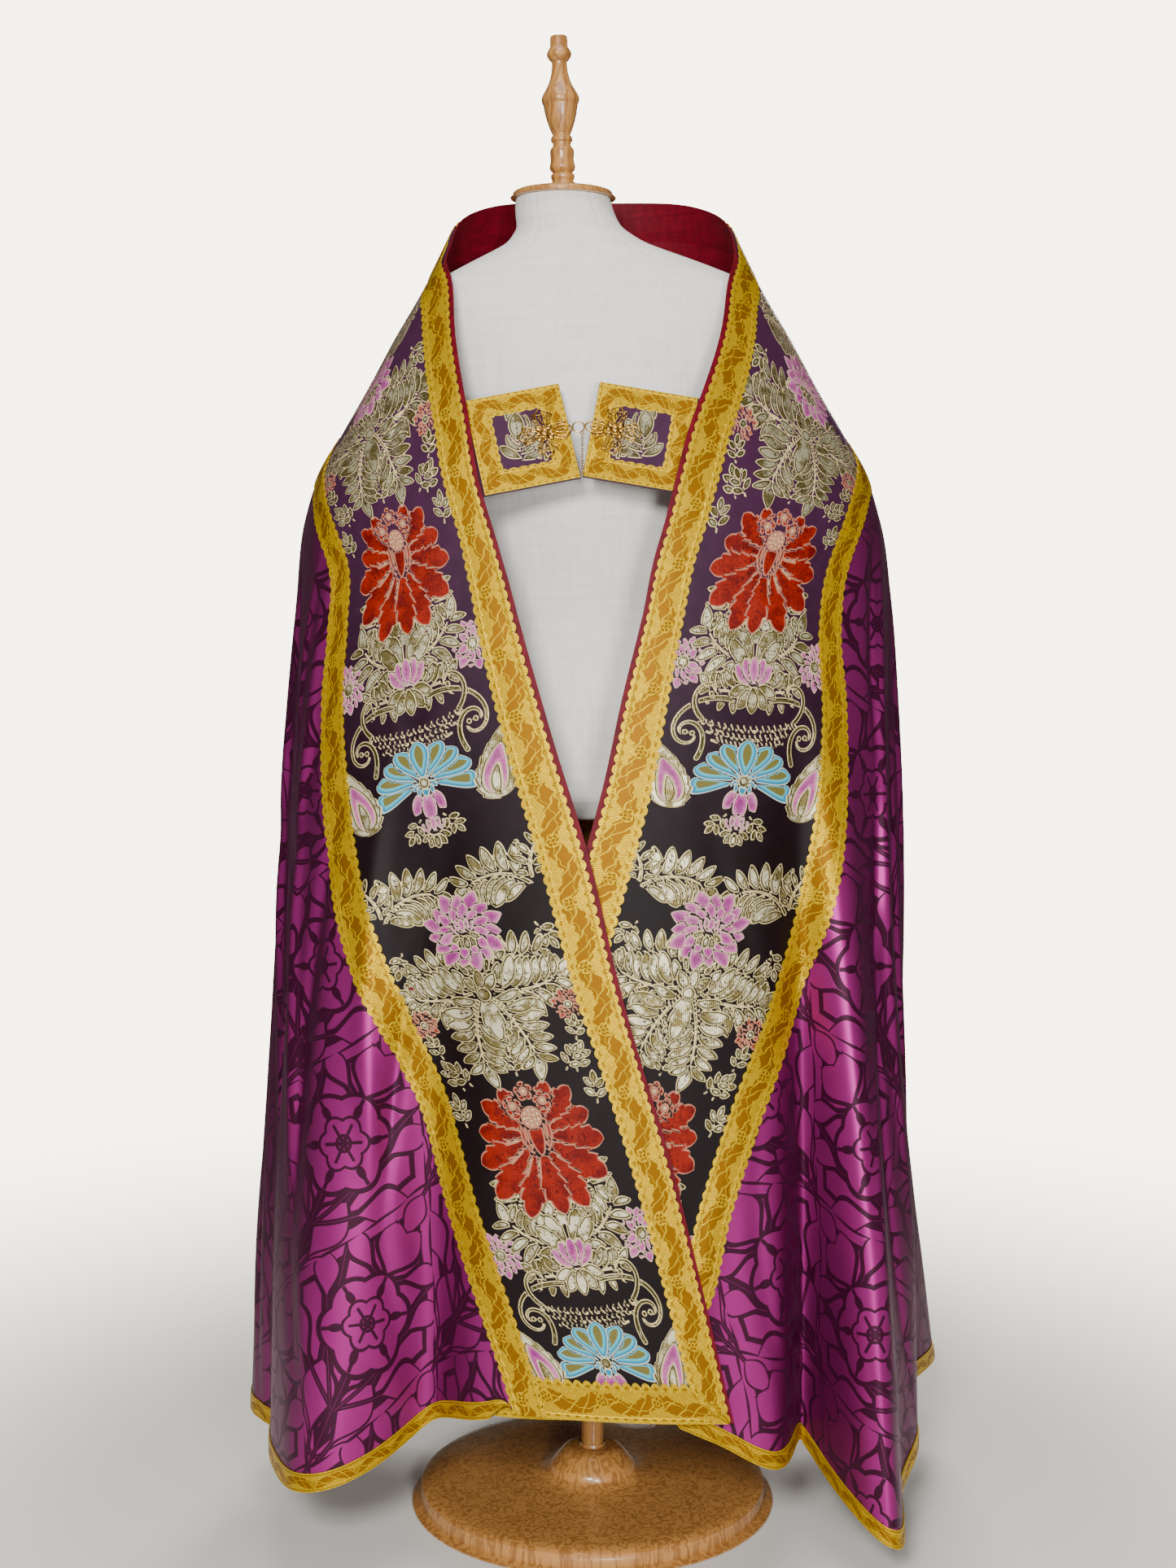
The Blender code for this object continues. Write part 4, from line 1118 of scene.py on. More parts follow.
@dataclass(frozen=True)
class Gilt:
    """Copper-gold metal, darker in random patches.

    Attributes:
        name: the material's name.
        bright: the polished colour.
        dull: the colour of its darker patches, laid at random.
    """

    name: str = "gilt_filigree"
    bright: Colour = (0.64, 0.385, 0.090)
    dull: Colour = (0.13, 0.055, 0.009)

    def material(self) -> Material:
        """Build the finish."""
        g = Graph(self.name)
        # Darker patches at random from noise, which also roughen the metal there
        patch_noise = g.noise(240.0, 3.0)
        worn = g.noise(1400.0, 2.0)
        colour = g.mix(self.bright, self.dull, g.rise(patch_noise, 0.44, 0.66))
        normal = g.bump(worn, 0.0002, 0.3)
        shader = g.cloth(colour, g.rise(patch_noise, 0.35, 0.75) * 0.20 + 0.24, normal, Metallic=1.0)
        return g.finish(shader, self.bright)


@dataclass(frozen=True)
class Floor:
    """Plain pale studio floor."""

    colour: Colour = (0.86, 0.845, 0.80)

    def material(self) -> Material:
        """Build the finish."""
        g = Graph("pale_floor")
        x, y, _z = g.place()
        colour = g.mix(self.colour, tuple(part * 0.98 for part in self.colour), g.noise(6.0, 2.0))
        away = g.math("SQRT", x * x + y * y)
        fade = 1.0 - g.rise(away, 0.55, 2.2)
        return g.finish(g.cloth(colour, 0.9, None, Alpha=fade), self.colour)


# Brocaded figures

# Bare ground left round each figure that lies on another, in millimetres
FIGURE_GAP = 1.5


class Thread(Enum):
    """The kinds of brocading thread, each a mark on the cloth."""

    LEAF = "leaf"
    RED = "red"
    BLUE = "blue"
    PINK = "pink"


LEAF, RED, BLUE, PINK = Thread


class Brocading:
    """Flowers and leaves drawn on the points of a flat cut, in millimetres.

    Each figure says how deep a point lies in it, and hides what lies under it.
    """

    def __init__(self, x: Array, y: Array) -> None:
        """Start with bare ground on points at x across and y up, in millimetres."""
        self.shape = x.shape
        self.x = x.ravel()
        self.y = y.ravel()
        self.marks = {thread.value: np.full(self.x.size, -9.0) for thread in Thread}
        self.marks["vein"] = np.full(self.x.size, -1.0)

    def result(self) -> dict[str, Array]:
        """Return the marks in the shape of the points."""
        return {name: values.reshape(self.shape) for name, values in self.marks.items()}

    def lay(self, thread: Thread, near: Array, depth: Array, vein: Array) -> None:
        """Lay one figure over the others.

        Args:
            thread: its thread.
            near: numbers of the points round it.
            depth: how deep they lie in it.
            vein: above 0 on its lines.
        """
        for other in Thread:
            if other is not thread:
                mark = self.marks[other.value]
                mark[near] = np.minimum(mark[near], -depth)
        mark = self.marks[thread.value]
        mark[near] = np.where(depth > -FIGURE_GAP, depth, np.maximum(mark[near], depth))
        lines = self.marks["vein"]
        lines[near] = np.where(depth > 0.0, vein, lines[near])

    def petal(self, thread: Thread, base: Point, angle: float, length: float, width: float,
              teeth: int = 0, bite: float = 0.0, bend: float = 0.0, widest: float = 0.5,
              veins: float = 0.0, blunt: float = 0.8) -> None:
        """Draw a petal or leaf.

        Args:
            thread: its thread.
            base: where it grows from.
            angle: its direction in degrees.
            length: its length.
            width: its width.
            teeth: notches on each side.
            bite: how deep the notches go, as a share of the width.
            bend: how far its tip leans aside, as a share of the length.
            widest: where along it the petal is widest.
            veins: distance between its side veins, or 0 for none.
            blunt: below 1 for a fuller outline.
        """
        turn = math.radians(angle)
        across, up = math.cos(turn), math.sin(turn)
        dx, dy = self.x - base[0], self.y - base[1]
        reach = length * (0.62 + abs(bend)) + width / 2 + 4.0
        near = np.nonzero((dx - across * length / 2) ** 2 + (dy - up * length / 2) ** 2 < reach ** 2)[0]
        if not len(near):
            return
        along = (dx[near] * across + dy[near] * up) / length
        side = dy[near] * across - dx[near] * up - bend * length * along ** 2
        part = np.clip(along, 0.0, 1.0)
        form = np.sin(math.pi * part ** (math.log(0.5) / math.log(widest))) ** blunt
        if teeth:
            form = form * (1 - bite * (1 - (part * teeth + 0.35) % 1.0) * (part < 0.93))
        off = np.abs(side)
        depth = (form * width / 2 - off) * 0.92
        beyond = np.maximum(-along, along - 1) * length
        depth = np.where(beyond > 0, -np.hypot(np.maximum(beyond, 0), off), depth)
        vein = np.full(len(near), -1.0)
        if veins:
            rib = np.where(part < 0.82, 0.9 * (1.1 - part) - off, -1.0)
            ribs = np.cos(2 * math.pi * (along * length - 0.85 * off) / veins) - 0.62
            vein = np.maximum(rib, np.where(depth > 2.4, ribs, -1.0))
        self.lay(thread, near, depth, vein)

    def disc(self, thread: Thread, middle: Point, radius: float, ring: float = 0.0) -> None:
        """Draw a round, with a line round it at ring millimetres from its middle."""
        away = np.hypot(self.x - middle[0], self.y - middle[1])
        near = np.nonzero(away < radius + 4.0)[0]
        vein = 0.7 - np.abs(away[near] - ring) if ring else np.full(len(near), -1.0)
        self.lay(thread, near, radius - away[near], vein)

    def stroke(self, thread: Thread, points: Sequence[Point], start: float, stop: float) -> None:
        """Draw a line that narrows from start to stop millimetres."""
        line = np.array(points, dtype=float)
        middle, reach = line.mean(axis=0), np.ptp(line, axis=0).max() + 6.0
        near = np.nonzero(np.hypot(self.x - middle[0], self.y - middle[1]) < reach)[0]
        depth = np.full(len(near), -99.0)
        for index, (first, second) in enumerate(zip(line, line[1:])):
            step = second - first
            x, y = self.x[near] - first[0], self.y[near] - first[1]
            share = np.clip((x * step[0] + y * step[1]) / (step @ step), 0, 1)
            away = np.hypot(x - step[0] * share, y - step[1] * share)
            half = (start + (stop - start) * (index + share) / (len(line) - 1)) / 2
            depth = np.maximum(depth, half - away)
        close = depth > -4.0
        self.lay(thread, near[close], depth[close], np.full(close.sum(), -1.0))

    def scroll(self, base: Point, angle: float, size: float, turns: float, hand: int) -> None:
        """Draw a curling tendril with a small lobe at its eye."""
        points = []
        x, y, way = base[0], base[1], math.radians(angle)
        steps = 22
        for step in range(steps):
            points.append((x, y))
            part = step / steps
            x += math.cos(way) * size * 0.14 * (1.05 - part)
            y += math.sin(way) * size * 0.14 * (1.05 - part)
            way += hand * 2 * math.pi * turns / steps * (0.35 + 1.3 * part)
        self.stroke(LEAF, points, 6.5, 2.6)
        self.disc(LEAF, points[-1], 3.2)

    def acanthus(self, base: Point, angle: float, length: float, curl: float,
                 lobes: int = 6, fat: float = 1.0) -> None:
        """Draw a long leaf of many lobes along a curved rib.

        Args:
            base: where it grows from.
            angle: its direction at the base.
            length: its length.
            curl: how far it turns, in degrees.
            lobes: lobes on each side.
            fat: factor on the lobes' size.
        """
        places = []
        x, y, way = base[0], base[1], angle
        for step in range(lobes + 1):
            places.append((x, y, way))
            x += math.cos(math.radians(way)) * length / lobes * 0.80
            y += math.sin(math.radians(way)) * length / lobes * 0.80
            way += curl / lobes
        x, y, way = places[-2]
        self.petal(LEAF, (x, y), way, length * 0.34 * fat, length * 0.17 * fat, 0, 0.0,
                   0.2 * math.copysign(1, curl), 0.5, 6.0)
        for step in range(lobes - 1, -1, -1):
            x, y, way = places[step]
            part = step / lobes
            size = length * 0.43 * (1 - 0.46 * part) * fat * (0.72 if step == 0 else 1.0)
            for side in (-1, 1):
                self.petal(LEAF, (x, y), way + side * (50 - 16 * part), size, size * 0.42, 0, 0.0,
                           side * 0.34, 0.60, 6.5, 0.70)
            self.disc(LEAF, (x, y), size * 0.13)
        self.stroke(LEAF, [(x, y) for x, y, _way in places[:-1]], 4.6, 2.2)

    def sprig(self, base: Point, angle: float, size: float = 17.0) -> None:
        """Draw five small leaves on a thin stem."""
        turn = math.radians(angle)
        tip = (base[0] + math.cos(turn) * size * 1.3, base[1] + math.sin(turn) * size * 1.3)
        self.stroke(LEAF, [base, tip], 2.4, 1.8)
        for share, lean in ((0.30, 55), (0.38, -55), (0.78, 48), (0.86, -48), (1.0, 0)):
            root = (base[0] + (tip[0] - base[0]) * share, base[1] + (tip[1] - base[1]) * share)
            self.petal(LEAF, root, angle + lean, size, size * 0.52, 0, 0.0, 0.0, 0.5, 0.0)

    def peony(self, x: float, y: float) -> None:
        """Draw the large red flower round a seeded cup."""
        for angle, length, width in (
            (174, 62, 34), (6, 62, 34), (200, 72, 38), (-20, 72, 38), (146, 62, 32), (34, 62, 32),
            (226, 84, 40), (-46, 84, 40), (252, 88, 38), (-72, 88, 38), (270, 84, 36), (122, 54, 28),
            (58, 54, 28),
        ):
            turn = math.radians(angle)
            base = (x + 9 * math.cos(turn), y + 9 * math.sin(turn))
            self.petal(RED, base, angle, length, width, 6, 0.30, 0.08 * math.copysign(1, math.cos(turn)),
                       0.64, 8.0, 0.72)
            aside = turn + 0.22
            line = [(x + length * share * math.cos(aside), y + length * share * math.sin(aside))
                    for share in (0.34, 0.56)]
            if 180 < angle % 360 < 360:
                self.stroke(LEAF, line, 1.9, 0.6)
        for lean in (-30, 30, -13, 13, 0):
            self.petal(RED, (x, y - 26), 90 + lean, 52 - abs(lean) * 0.3, 19, 0, 0, -lean * 0.006, 0.50,
                       6.0, 0.6)
        for bud in ((-19, 34), (19, 34), (0, 48)):
            for step in range(5):
                turn = 2 * math.pi * step / 5 + 0.3
                self.disc(RED, (x + bud[0] + 6.5 * math.cos(turn), y + bud[1] + 6.5 * math.sin(turn)), 5.2)
            self.disc(RED, (x + bud[0], y + bud[1]), 5.4, 3.0)
            self.disc(LEAF, (x + bud[0], y + bud[1]), 2.2)
        self.disc(RED, (x, y + 18), 13.0)
        for ring, count in ((9.0, 9), (4.2, 5)):
            for step in range(count):
                turn = 2 * math.pi * step / count
                self.disc(LEAF, (x + ring * math.cos(turn), y + 18 + ring * math.sin(turn)), 1.7)

    def shell(self, x: float, y: float) -> None:
        """Draw the turquoise fan with its drop."""
        for angle in (4, 176, 26, 154, 48, 132, 70, 110, 90):
            length = 66 - abs(math.sin(math.radians(angle))) * 18
            lean = 0.26 * (1 if angle > 90 else -1 if angle < 90 else 0)
            self.petal(BLUE, (x, y), angle, length, 25, 0, 0, lean, 0.70, 0.0, 0.55)
        for angle, length in ((236, 34), (304, 34), (270, 42)):
            self.petal(PINK, (x, y - 4), angle, length, 17, 0, 0, 0, 0.55, 6.0)
        for angle in (205, 335, 235, 305, 270):
            self.petal(BLUE, (x, y + 2), angle, 17, 10, 0, 0, 0, 0.55, 0.0)
        self.disc(LEAF, (x, y + 1), 6.5, 3.6)

    def aster(self, thread: Thread, x: float, y: float, radius: float) -> None:
        """Draw a round flower of narrow petals."""
        count = 15
        for ring, share in ((0, 1.0), (1, 0.68)):
            for step in range(count - 3 * ring):
                angle = 360 * (step + 0.5 * ring) / (count - 3 * ring)
                length = radius * share * (1.0 if step % 2 else 0.88)
                self.petal(thread, (x, y), angle, length, radius * 0.36 * (share + 0.1), 0, 0, 0,
                           0.62, 0.0, 0.9)
        self.disc(LEAF, (x, y), radius * 0.24, radius * 0.13)

    def paisley(self, x: float, y: float, angle: float, size: float, hand: int) -> None:
        """Draw a bent drop inside a beaded drop."""
        self.petal(LEAF, (x, y), angle, size, size * 0.66, 7, 0.14, hand * 0.42, 0.36, 0.0, 0.6)
        turn = math.radians(angle)
        inner = (x + size * 0.08 * math.cos(turn), y + size * 0.08 * math.sin(turn))
        self.petal(PINK, inner, angle, size * 0.66, size * 0.36, 0, 0, hand * 0.36, 0.38, 0.0, 0.6)
        self.petal(LEAF, inner, angle, size * 0.42, size * 0.18, 0, 0, hand * 0.30, 0.40, 0.0, 0.6)

    def lily(self, x: float, y: float, size: float) -> None:
        """Draw a small open lily with a leafy calyx."""
        for angle in (200, -20, 236, -56, 270):
            self.petal(LEAF, (x, y), angle, 26 * size, 13 * size, 0, 0, 0, 0.55, 5.0, 0.7)
        for angle in (150, 30, 120, 60, 90):
            self.petal(PINK, (x, y), angle, 27 * size, 11 * size, 0, 0, 0.004 * (90 - angle), 0.6, 5.0, 0.7)

    def crest(self, x: float, y: float) -> None:
        """Draw the leafy ornament between the large flower and the turquoise fan."""
        for side in (-1, 1):
            self.aster(PINK, x + side * 90, y - 128, 31)
            self.acanthus((x + side * 6, y - 112), 90 - side * 50, 108, side * 44, 6, 1.0)
            self.acanthus((x + side * 8, y - 124), 90 - side * 84, 96, side * 66, 6, 1.0)
            self.acanthus((x + side * 10, y - 150), 90 - side * 122, 66, side * 80, 5, 1.1)
            self.scroll((x + side * 24, y - 168), 90 - side * 84, 74, 1.15, -side)
            self.scroll((x + side * 34, y - 204), 90 - side * 72, 56, 1.15, side)
        for angle in (90, 60, 120, 32, 148):
            self.petal(LEAF, (x, y - 132), angle, 48, 22, 3, 0.22, 0.003 * (90 - angle), 0.6, 5.5, 0.7)
        for row in range(3):
            wide = 62 + row * -9
            line = [(x + wide * t / 4, y - 196 - row * 10 - 8 * (1 - (t / 4) ** 2)) for t in range(-4, 5)]
            self.stroke(LEAF, line, 3.0, 3.0)
            for t in range(-7, 8):
                foot = (x + wide * t / 8, y - 190 - row * 10 - 8 * (1 - (t / 8) ** 2))
                self.stroke(LEAF, [foot, (foot[0] + 3.0, foot[1] - 6.0)], 2.0, 1.6)
        self.lily(x, y - 152, 1.25)

    def tail(self, x: float, y: float) -> None:
        """Draw the aster and the spreading leaves over the next flower."""
        for side in (-1, 1):
            self.acanthus((x + side * 4, y - 486), 90 - side * 62, 92, -side * 44, 6, 1.05)
            self.acanthus((x + side * 6, y - 500), 90 - side * 108, 108, side * 46, 7, 1.0)
            self.acanthus((x + side * 8, y - 512), 90 - side * 150, 104, -side * 30, 7, 1.0)
            self.scroll((x + side * 12, y - 478), 90 - side * 24, 46, 1.15, side)
            self.aster(RED, x + side * 88, y - 532, 20)
            self.sprig((x + side * 84, y - 574), 90 - side * 12, 14.0)
            self.sprig((x + side * 60, y - 606), 90 - side * 40, 16.0)
        self.petal(LEAF, (x, y - 500), 270, 62, 30, 4, 0.3, 0, 0.5, 6.0)
        for angle in (50, 90, 130):
            self.petal(LEAF, (x, y - 506), angle, 30, 14, 0, 0, 0, 0.55, 5.0)
        self.disc(LEAF, (x, y - 506), 8.0, 4.5)
        self.aster(PINK, x, y - 432, 48)
        self.lily(x, y - 436, 0.7)

    def repeat(self, x: float, y: float) -> None:
        """Draw one repeat of the band's figure, with the large flower at x and y."""
        self.crest(x, y)
        for side in (-1, 1):
            self.sprig((x + side * 84, y + 18), 90 - side * 8)
            self.sprig((x + side * 72, y + 58), 90 - side * 26)
            self.sprig((x + side * 34, y + 70), 90 - side * 20, 15.0)
        self.sprig((x, y + 66), 90, 15.0)
        self.peony(x, y)
        self.shell(x, y - 262)
        for side in (-1, 1):
            self.sprig((x + side * 14, y - 300), 270 + side * 38, 14.0)
            self.paisley(x + side * 80, y - 300, 90 + side * 4, 78, -side)
            self.scroll((x + side * 58, y - 238), 90 + side * 20, 44, 1.2, -side)
            self.acanthus((x + side * 84, y - 398), 90 + side * 46, 96, side * 84, 7, 1.05)
            self.acanthus((x + side * 88, y - 392), 90 - side * 4, 66, -side * 70, 5, 0.9)
            self.sprig((x + side * 78, y - 440), 90 - side * 150, 16.0)
        self.lily(x, y - 318, 0.7)
        self.tail(x, y)


# Wires, beads and stitches

class Strands:
    """Geometry Nodes that turn lines into wire, beads or stitches, and read the result back."""

    def __init__(self, name: str) -> None:
        """Start an empty node tree with a geometry input and output."""
        self.tree = bpy.data.node_groups.new(name, "GeometryNodeTree")
        self.tree.interface.new_socket("Lines", in_out="INPUT", socket_type="NodeSocketGeometry")
        self.tree.interface.new_socket("Geometry", in_out="OUTPUT", socket_type="NodeSocketGeometry")
        self.start = self.tree.nodes.new("NodeGroupInput")
        self.stop = self.tree.nodes.new("NodeGroupOutput")
        self.inputs: dict[str, str] = {}

    def number(self, name: str, kind: str = "NodeSocketFloat") -> Socket:
        """Add a named input and return its socket in the tree."""
        item = self.tree.interface.new_socket(name, in_out="INPUT", socket_type=kind)
        self.inputs[name] = item.identifier
        return self.start.outputs[name]

    def add(self, kind: str, settings: Optional[dict] = None,
            values: Optional[dict] = None) -> bpy.types.Node:
        """Add a node with attributes, then values or links by socket."""
        node = self.tree.nodes.new(kind)
        for key, value in (settings or {}).items():
            setattr(node, key, value)
        for key, value in (values or {}).items():
            if isinstance(value, Socket):
                self.tree.links.new(value, node.inputs[key])
            else:
                node.inputs[key].default_value = value
        return node

    def close(self, geometry: Socket, material: Socket) -> None:
        """Realize, give the material and link the output."""
        real = self.add("GeometryNodeRealizeInstances", None, {"Geometry": geometry})
        painted = self.add("GeometryNodeSetMaterial", None, {
            "Geometry": real.outputs[0], "Material": material})
        self.tree.links.new(painted.outputs[0], self.stop.inputs[0])

    def run(self, name: str, lines: Sequence[Array], values: dict[str, object],
            cyclic: bool = False) -> Mesh:
        """Run the tree on lines and return a plain mesh.

        Args:
            name: the mesh's name.
            lines: points of each line.
            values: the inputs by name.
            cyclic: whether the lines close.
        """
        curve = bpy.data.curves.new(name, "CURVE")
        curve.dimensions = "3D"
        for line in lines:
            spline = curve.splines.new("POLY")
            spline.points.add(len(line) - 1)
            whole_line = np.hstack([line, np.ones((len(line), 1))])
            spline.points.foreach_set("co", whole_line.astype(np.float32).ravel())
            spline.use_cyclic_u = cyclic
        item = bpy.data.objects.new(name, curve)
        bpy.context.scene.collection.objects.link(item)
        modifier = item.modifiers.new("strands", "NODES")
        modifier.node_group = self.tree
        for key, value in values.items():
            modifier[self.inputs[key]] = value
        seen = item.evaluated_get(bpy.context.evaluated_depsgraph_get())
        mesh = bpy.data.meshes.new_from_object(seen)
        bpy.data.objects.remove(item, do_unlink=True)
        bpy.data.curves.remove(curve)
        mesh.name = name
        return mesh


def wire_tree() -> Strands:
    """Return a tree that gives each line a round wire with beads at even distances."""
    strands = Strands("wire_and_beads")
    radius, sides = strands.number("Wire Radius"), strands.number("Wire Sides", "NodeSocketInt")
    bead, gap = strands.number("Bead Radius"), strands.number("Bead Spacing")
    detail = strands.number("Bead Detail", "NodeSocketInt")
    material = strands.number("Material", "NodeSocketMaterial")
    lines = strands.start.outputs["Lines"]
    profile = strands.add("GeometryNodeCurvePrimitiveCircle", None, {"Radius": radius, "Resolution": sides})
    tube = strands.add("GeometryNodeCurveToMesh", None, {
        "Curve": lines, "Profile Curve": profile.outputs[0], "Fill Caps": True})
    points = strands.add("GeometryNodeCurveToPoints", {"mode": "LENGTH"}, {"Curve": lines, "Length": gap})
    ball = strands.add("GeometryNodeMeshIcoSphere", None, {"Radius": bead, "Subdivisions": detail})
    beads = strands.add("GeometryNodeInstanceOnPoints", None, {
        "Points": points.outputs["Points"], "Instance": ball.outputs[0]})
    both = strands.add("GeometryNodeJoinGeometry")
    strands.tree.links.new(tube.outputs[0], both.inputs[0])
    strands.tree.links.new(beads.outputs[0], both.inputs[0])
    strands.close(both.outputs[0], material)
    return strands


def stitch_tree() -> Strands:
    """Return a tree that lays a row of short stitches along each line."""
    strands = Strands("stitches")
    radius, length = strands.number("Thread Radius"), strands.number("Stitch Length")
    pitch = strands.number("Stitch Pitch")
    material = strands.number("Material", "NodeSocketMaterial")
    points = strands.add("GeometryNodeCurveToPoints", {"mode": "LENGTH"}, {
        "Curve": strands.start.outputs["Lines"], "Length": pitch})
    ball = strands.add("GeometryNodeMeshUVSphere", None, {"Segments": 6, "Rings": 4, "Radius": 1.0})
    size = strands.add("ShaderNodeCombineXYZ", None, {"X": radius, "Y": radius, "Z": length})
    stitches = strands.add("GeometryNodeInstanceOnPoints", None, {
        "Points": points.outputs["Points"], "Instance": ball.outputs[0],
        "Rotation": points.outputs["Rotation"], "Scale": size.outputs[0]})
    strands.close(stitches.outputs[0], material)
    return strands


# Cloth pieces

@dataclass
class Garment:
    """Everything sewn into the cope, on one draped surface.

    Attributes:
        damask: finish of the cloak.
        brocade: finish of the bands.
        galloon: finish of the wide trims.
        hem_galloon: finish of the hem's trim.
        lining: finish of the lining.
        band_lines: stations along each band.
        band_rows: rows across a band between its trims.
        edge_lines: stations along the trim of the free edge.
        seam_lines: stations along the trim of the seam.
        hem_lines: stations along the hem's trim.
        bottom_lines: stations along the trim at a band's bottom.
        cloak_rows: rows of a cloak panel from its seam to the hem.
        flower_rise: height of the first large flower in the band's cut, in millimetres.
        flower_repeat: distance from one large flower to the next, in millimetres.
        scallop: length of one scallop of the lace edges.
        scallop_depth: how deep it is cut.
    """

    damask: Material
    brocade: Material
    galloon: Material
    hem_galloon: Material
    lining: Material
    band_lines: int = 830
    band_rows: int = 94
    edge_lines: int = 1900
    seam_lines: int = 1800
    hem_lines: int = 1300
    bottom_lines: int = 170
    cloak_rows: int = 144
    flower_rise: float = 328.0
    flower_repeat: float = 668.0
    scallop: float = 0.0125
    scallop_depth: float = 0.0042

    # Stitches: their sizes, how far in from a trim's edge they run, and the two rows that hold
    # the lining's facing, at their distances across and their level
    STITCH = {"Thread Radius": 0.00024, "Stitch Length": 0.0011, "Stitch Pitch": 0.0075}
    STITCH_MARGIN = 0.0036
    FACING_STITCHES = (0.013, 0.0455)
    FACING_LEVEL = -0.0036

    # Node, its first and last row, and its stations
    CLOAK_PANELS = (
        ("cloak_left", 0, 12, 220), ("cloak_left_side", 12, 15, 90), ("cloak_back", 15, 19, 130),
        ("cloak_right_side", 19, 22, 90), ("cloak_right", 22, LAST_ROW, 240),
    )

    def band(self, side: str) -> None:
        """Make one brocade band, with its figure drawn on its points."""
        left = side == "left"
        start, stop = (0, BACK_ROW) if left else (BACK_ROW, LAST_ROW)
        at, run = DRAPE.even(start, stop, self.band_lines, BAND_WIDTH / 2)
        margin = np.linspace(0.0, GALLOON_WIDTH - 0.003, 5)
        middle = np.linspace(GALLOON_WIDTH, BAND_WIDTH - GALLOON_WIDTH, self.band_rows)
        across = np.concatenate([margin, middle, BAND_WIDTH - margin[::-1]])
        rows = np.broadcast_to(across, (len(at), len(across)))
        angle, height = DRAPE.band(at, rows)
        up = run if left else run[-1] - run
        flat = np.stack([rows, np.broadcast_to(up[:, None], rows.shape)], axis=-1)
        figure = Brocading((rows - BAND_WIDTH / 2) * 1000, flat[..., 1] * 1000)
        for number in range(-1, 4):
            figure.repeat(0.0, self.flower_rise + number * self.flower_repeat)
        grid = Grid(DRAPE.place(angle, height, BAND_LEVEL), flat, figure.result())
        mesh = grid.framed(DRAPE.place(angle, height, 0.0)).mesh("band")
        settle(mesh)
        piece = dress(f"band_{side}_cloth", mesh, self.brocade, "brocade", f"band_{side}")

    @staticmethod
    def unrolled(columns: Array, back: int) -> Array:
        """Lay the cloak out flat: strip by strip from the back, then eased to its true lengths.

        Args:
            columns: points of the cloak, stations by rows.
            back: number of the station at the centre back.

        Returns:
            Places in the flat cut, stations by rows by 2.
        """
        steps = np.linalg.norm(np.diff(columns, axis=1), axis=2)
        lengths = np.concatenate([np.zeros((len(columns), 1)), steps.cumsum(axis=1)], axis=1)
        tops, feet = columns[:, 0], columns[:, -1]
        top, way = np.zeros((len(columns), 2)), np.zeros(len(columns))
        for step, order in ((1, range(back, len(columns) - 1)), (-1, range(back, 0, -1))):
            for index in order:
                after = index + step
                ahead = tops[after] - tops[index]
                fall = columns[index, 6] - tops[index]
                fall /= max(np.linalg.norm(fall), 1e-9)
                along = float(ahead @ fall)
                above = math.sqrt(max(float(ahead @ ahead) - along ** 2, 0.0))
                below = float(np.linalg.norm(feet[after] - feet[index]))
                long = lengths[index, -1]
                spread = min(max((below - above) / long, -0.02), 0.05) if long > 0.15 else 0.0
                right = np.array([math.cos(way[index]), math.sin(way[index])])
                down = np.array([math.sin(way[index]), -math.cos(way[index])])
                top[after] = top[index] + step * above * right + along * down
                way[after] = way[index] + step * spread
        down = np.stack([np.sin(way), -np.cos(way)], axis=-1)
        flat = top[:, None] + down[:, None] * lengths[..., None]
        pairs = [
            ((slice(None), slice(None, -1)), (slice(None), slice(1, None))),
            ((slice(None, -1), slice(None)), (slice(1, None), slice(None))),
            ((slice(None, -1), slice(None, -1)), (slice(1, None), slice(1, None))),
            ((slice(None, -1), slice(1, None)), (slice(1, None), slice(None, -1))),
        ]
        rest = [np.linalg.norm(columns[first] - columns[second], axis=2) for first, second in pairs]
        for _turn in range(500):
            move, count = np.zeros_like(flat), np.full(flat.shape[:2], 0.5)
            for (first, second), true in zip(pairs, rest):
                gap = flat[second] - flat[first]
                now = np.maximum(np.linalg.norm(gap, axis=2), 1e-9)
                pull = gap * (0.5 * (now - true) / now)[..., None]
                move[first] += pull
                move[second] -= pull
                count[first] += 1
                count[second] += 1
            flat = flat + move / count[..., None] * 1.7
        return flat

    def cloak(self) -> None:
        """Make the damask panels of the cloak."""
        left_at, _run = DRAPE.even(0, BACK_ROW, 110, BAND_WIDTH)
        right_at, _run = DRAPE.even(BACK_ROW, LAST_ROW, 110, BAND_WIDTH)
        whole_at = np.concatenate([left_at, right_at[1:]])
        share = np.linspace(0.0, 1.0, 44)
        columns = DRAPE.surface(*DRAPE.body(whole_at, np.broadcast_to(share, (len(whole_at), len(share)))))
        whole_flat = self.unrolled(columns, len(left_at) - 1)
        fine = np.linspace(0.0, 1.0, self.cloak_rows)
        for name, start, stop, count in self.CLOAK_PANELS:
            at, _run = DRAPE.even(start, stop, count, BAND_WIDTH)
            angle, height = DRAPE.body(at, np.broadcast_to(fine, (len(at), len(fine))))
            rows = [[np.interp(at, whole_at, whole_flat[:, row, axis]) for axis in range(2)]
                    for row in range(len(share))]
            coarse = np.array(rows).transpose(2, 0, 1)
            flat = np.stack([
                np.stack([np.interp(fine, share, line[:, axis]) for line in coarse]) for axis in range(2)
            ], axis=-1)
            grid = Grid(DRAPE.place(angle, height, CLOTH_LEVEL), flat)
            mesh = grid.framed(DRAPE.place(angle, height, 0.0)).mesh(name)
            settle(mesh, 60.0)
            piece = dress(f"{name}_cloth", mesh, self.damask, "damask", name)
            area = sum(face.area for face in mesh.polygons)
            cut = self.cut_size(flat.reshape(-1, 2))
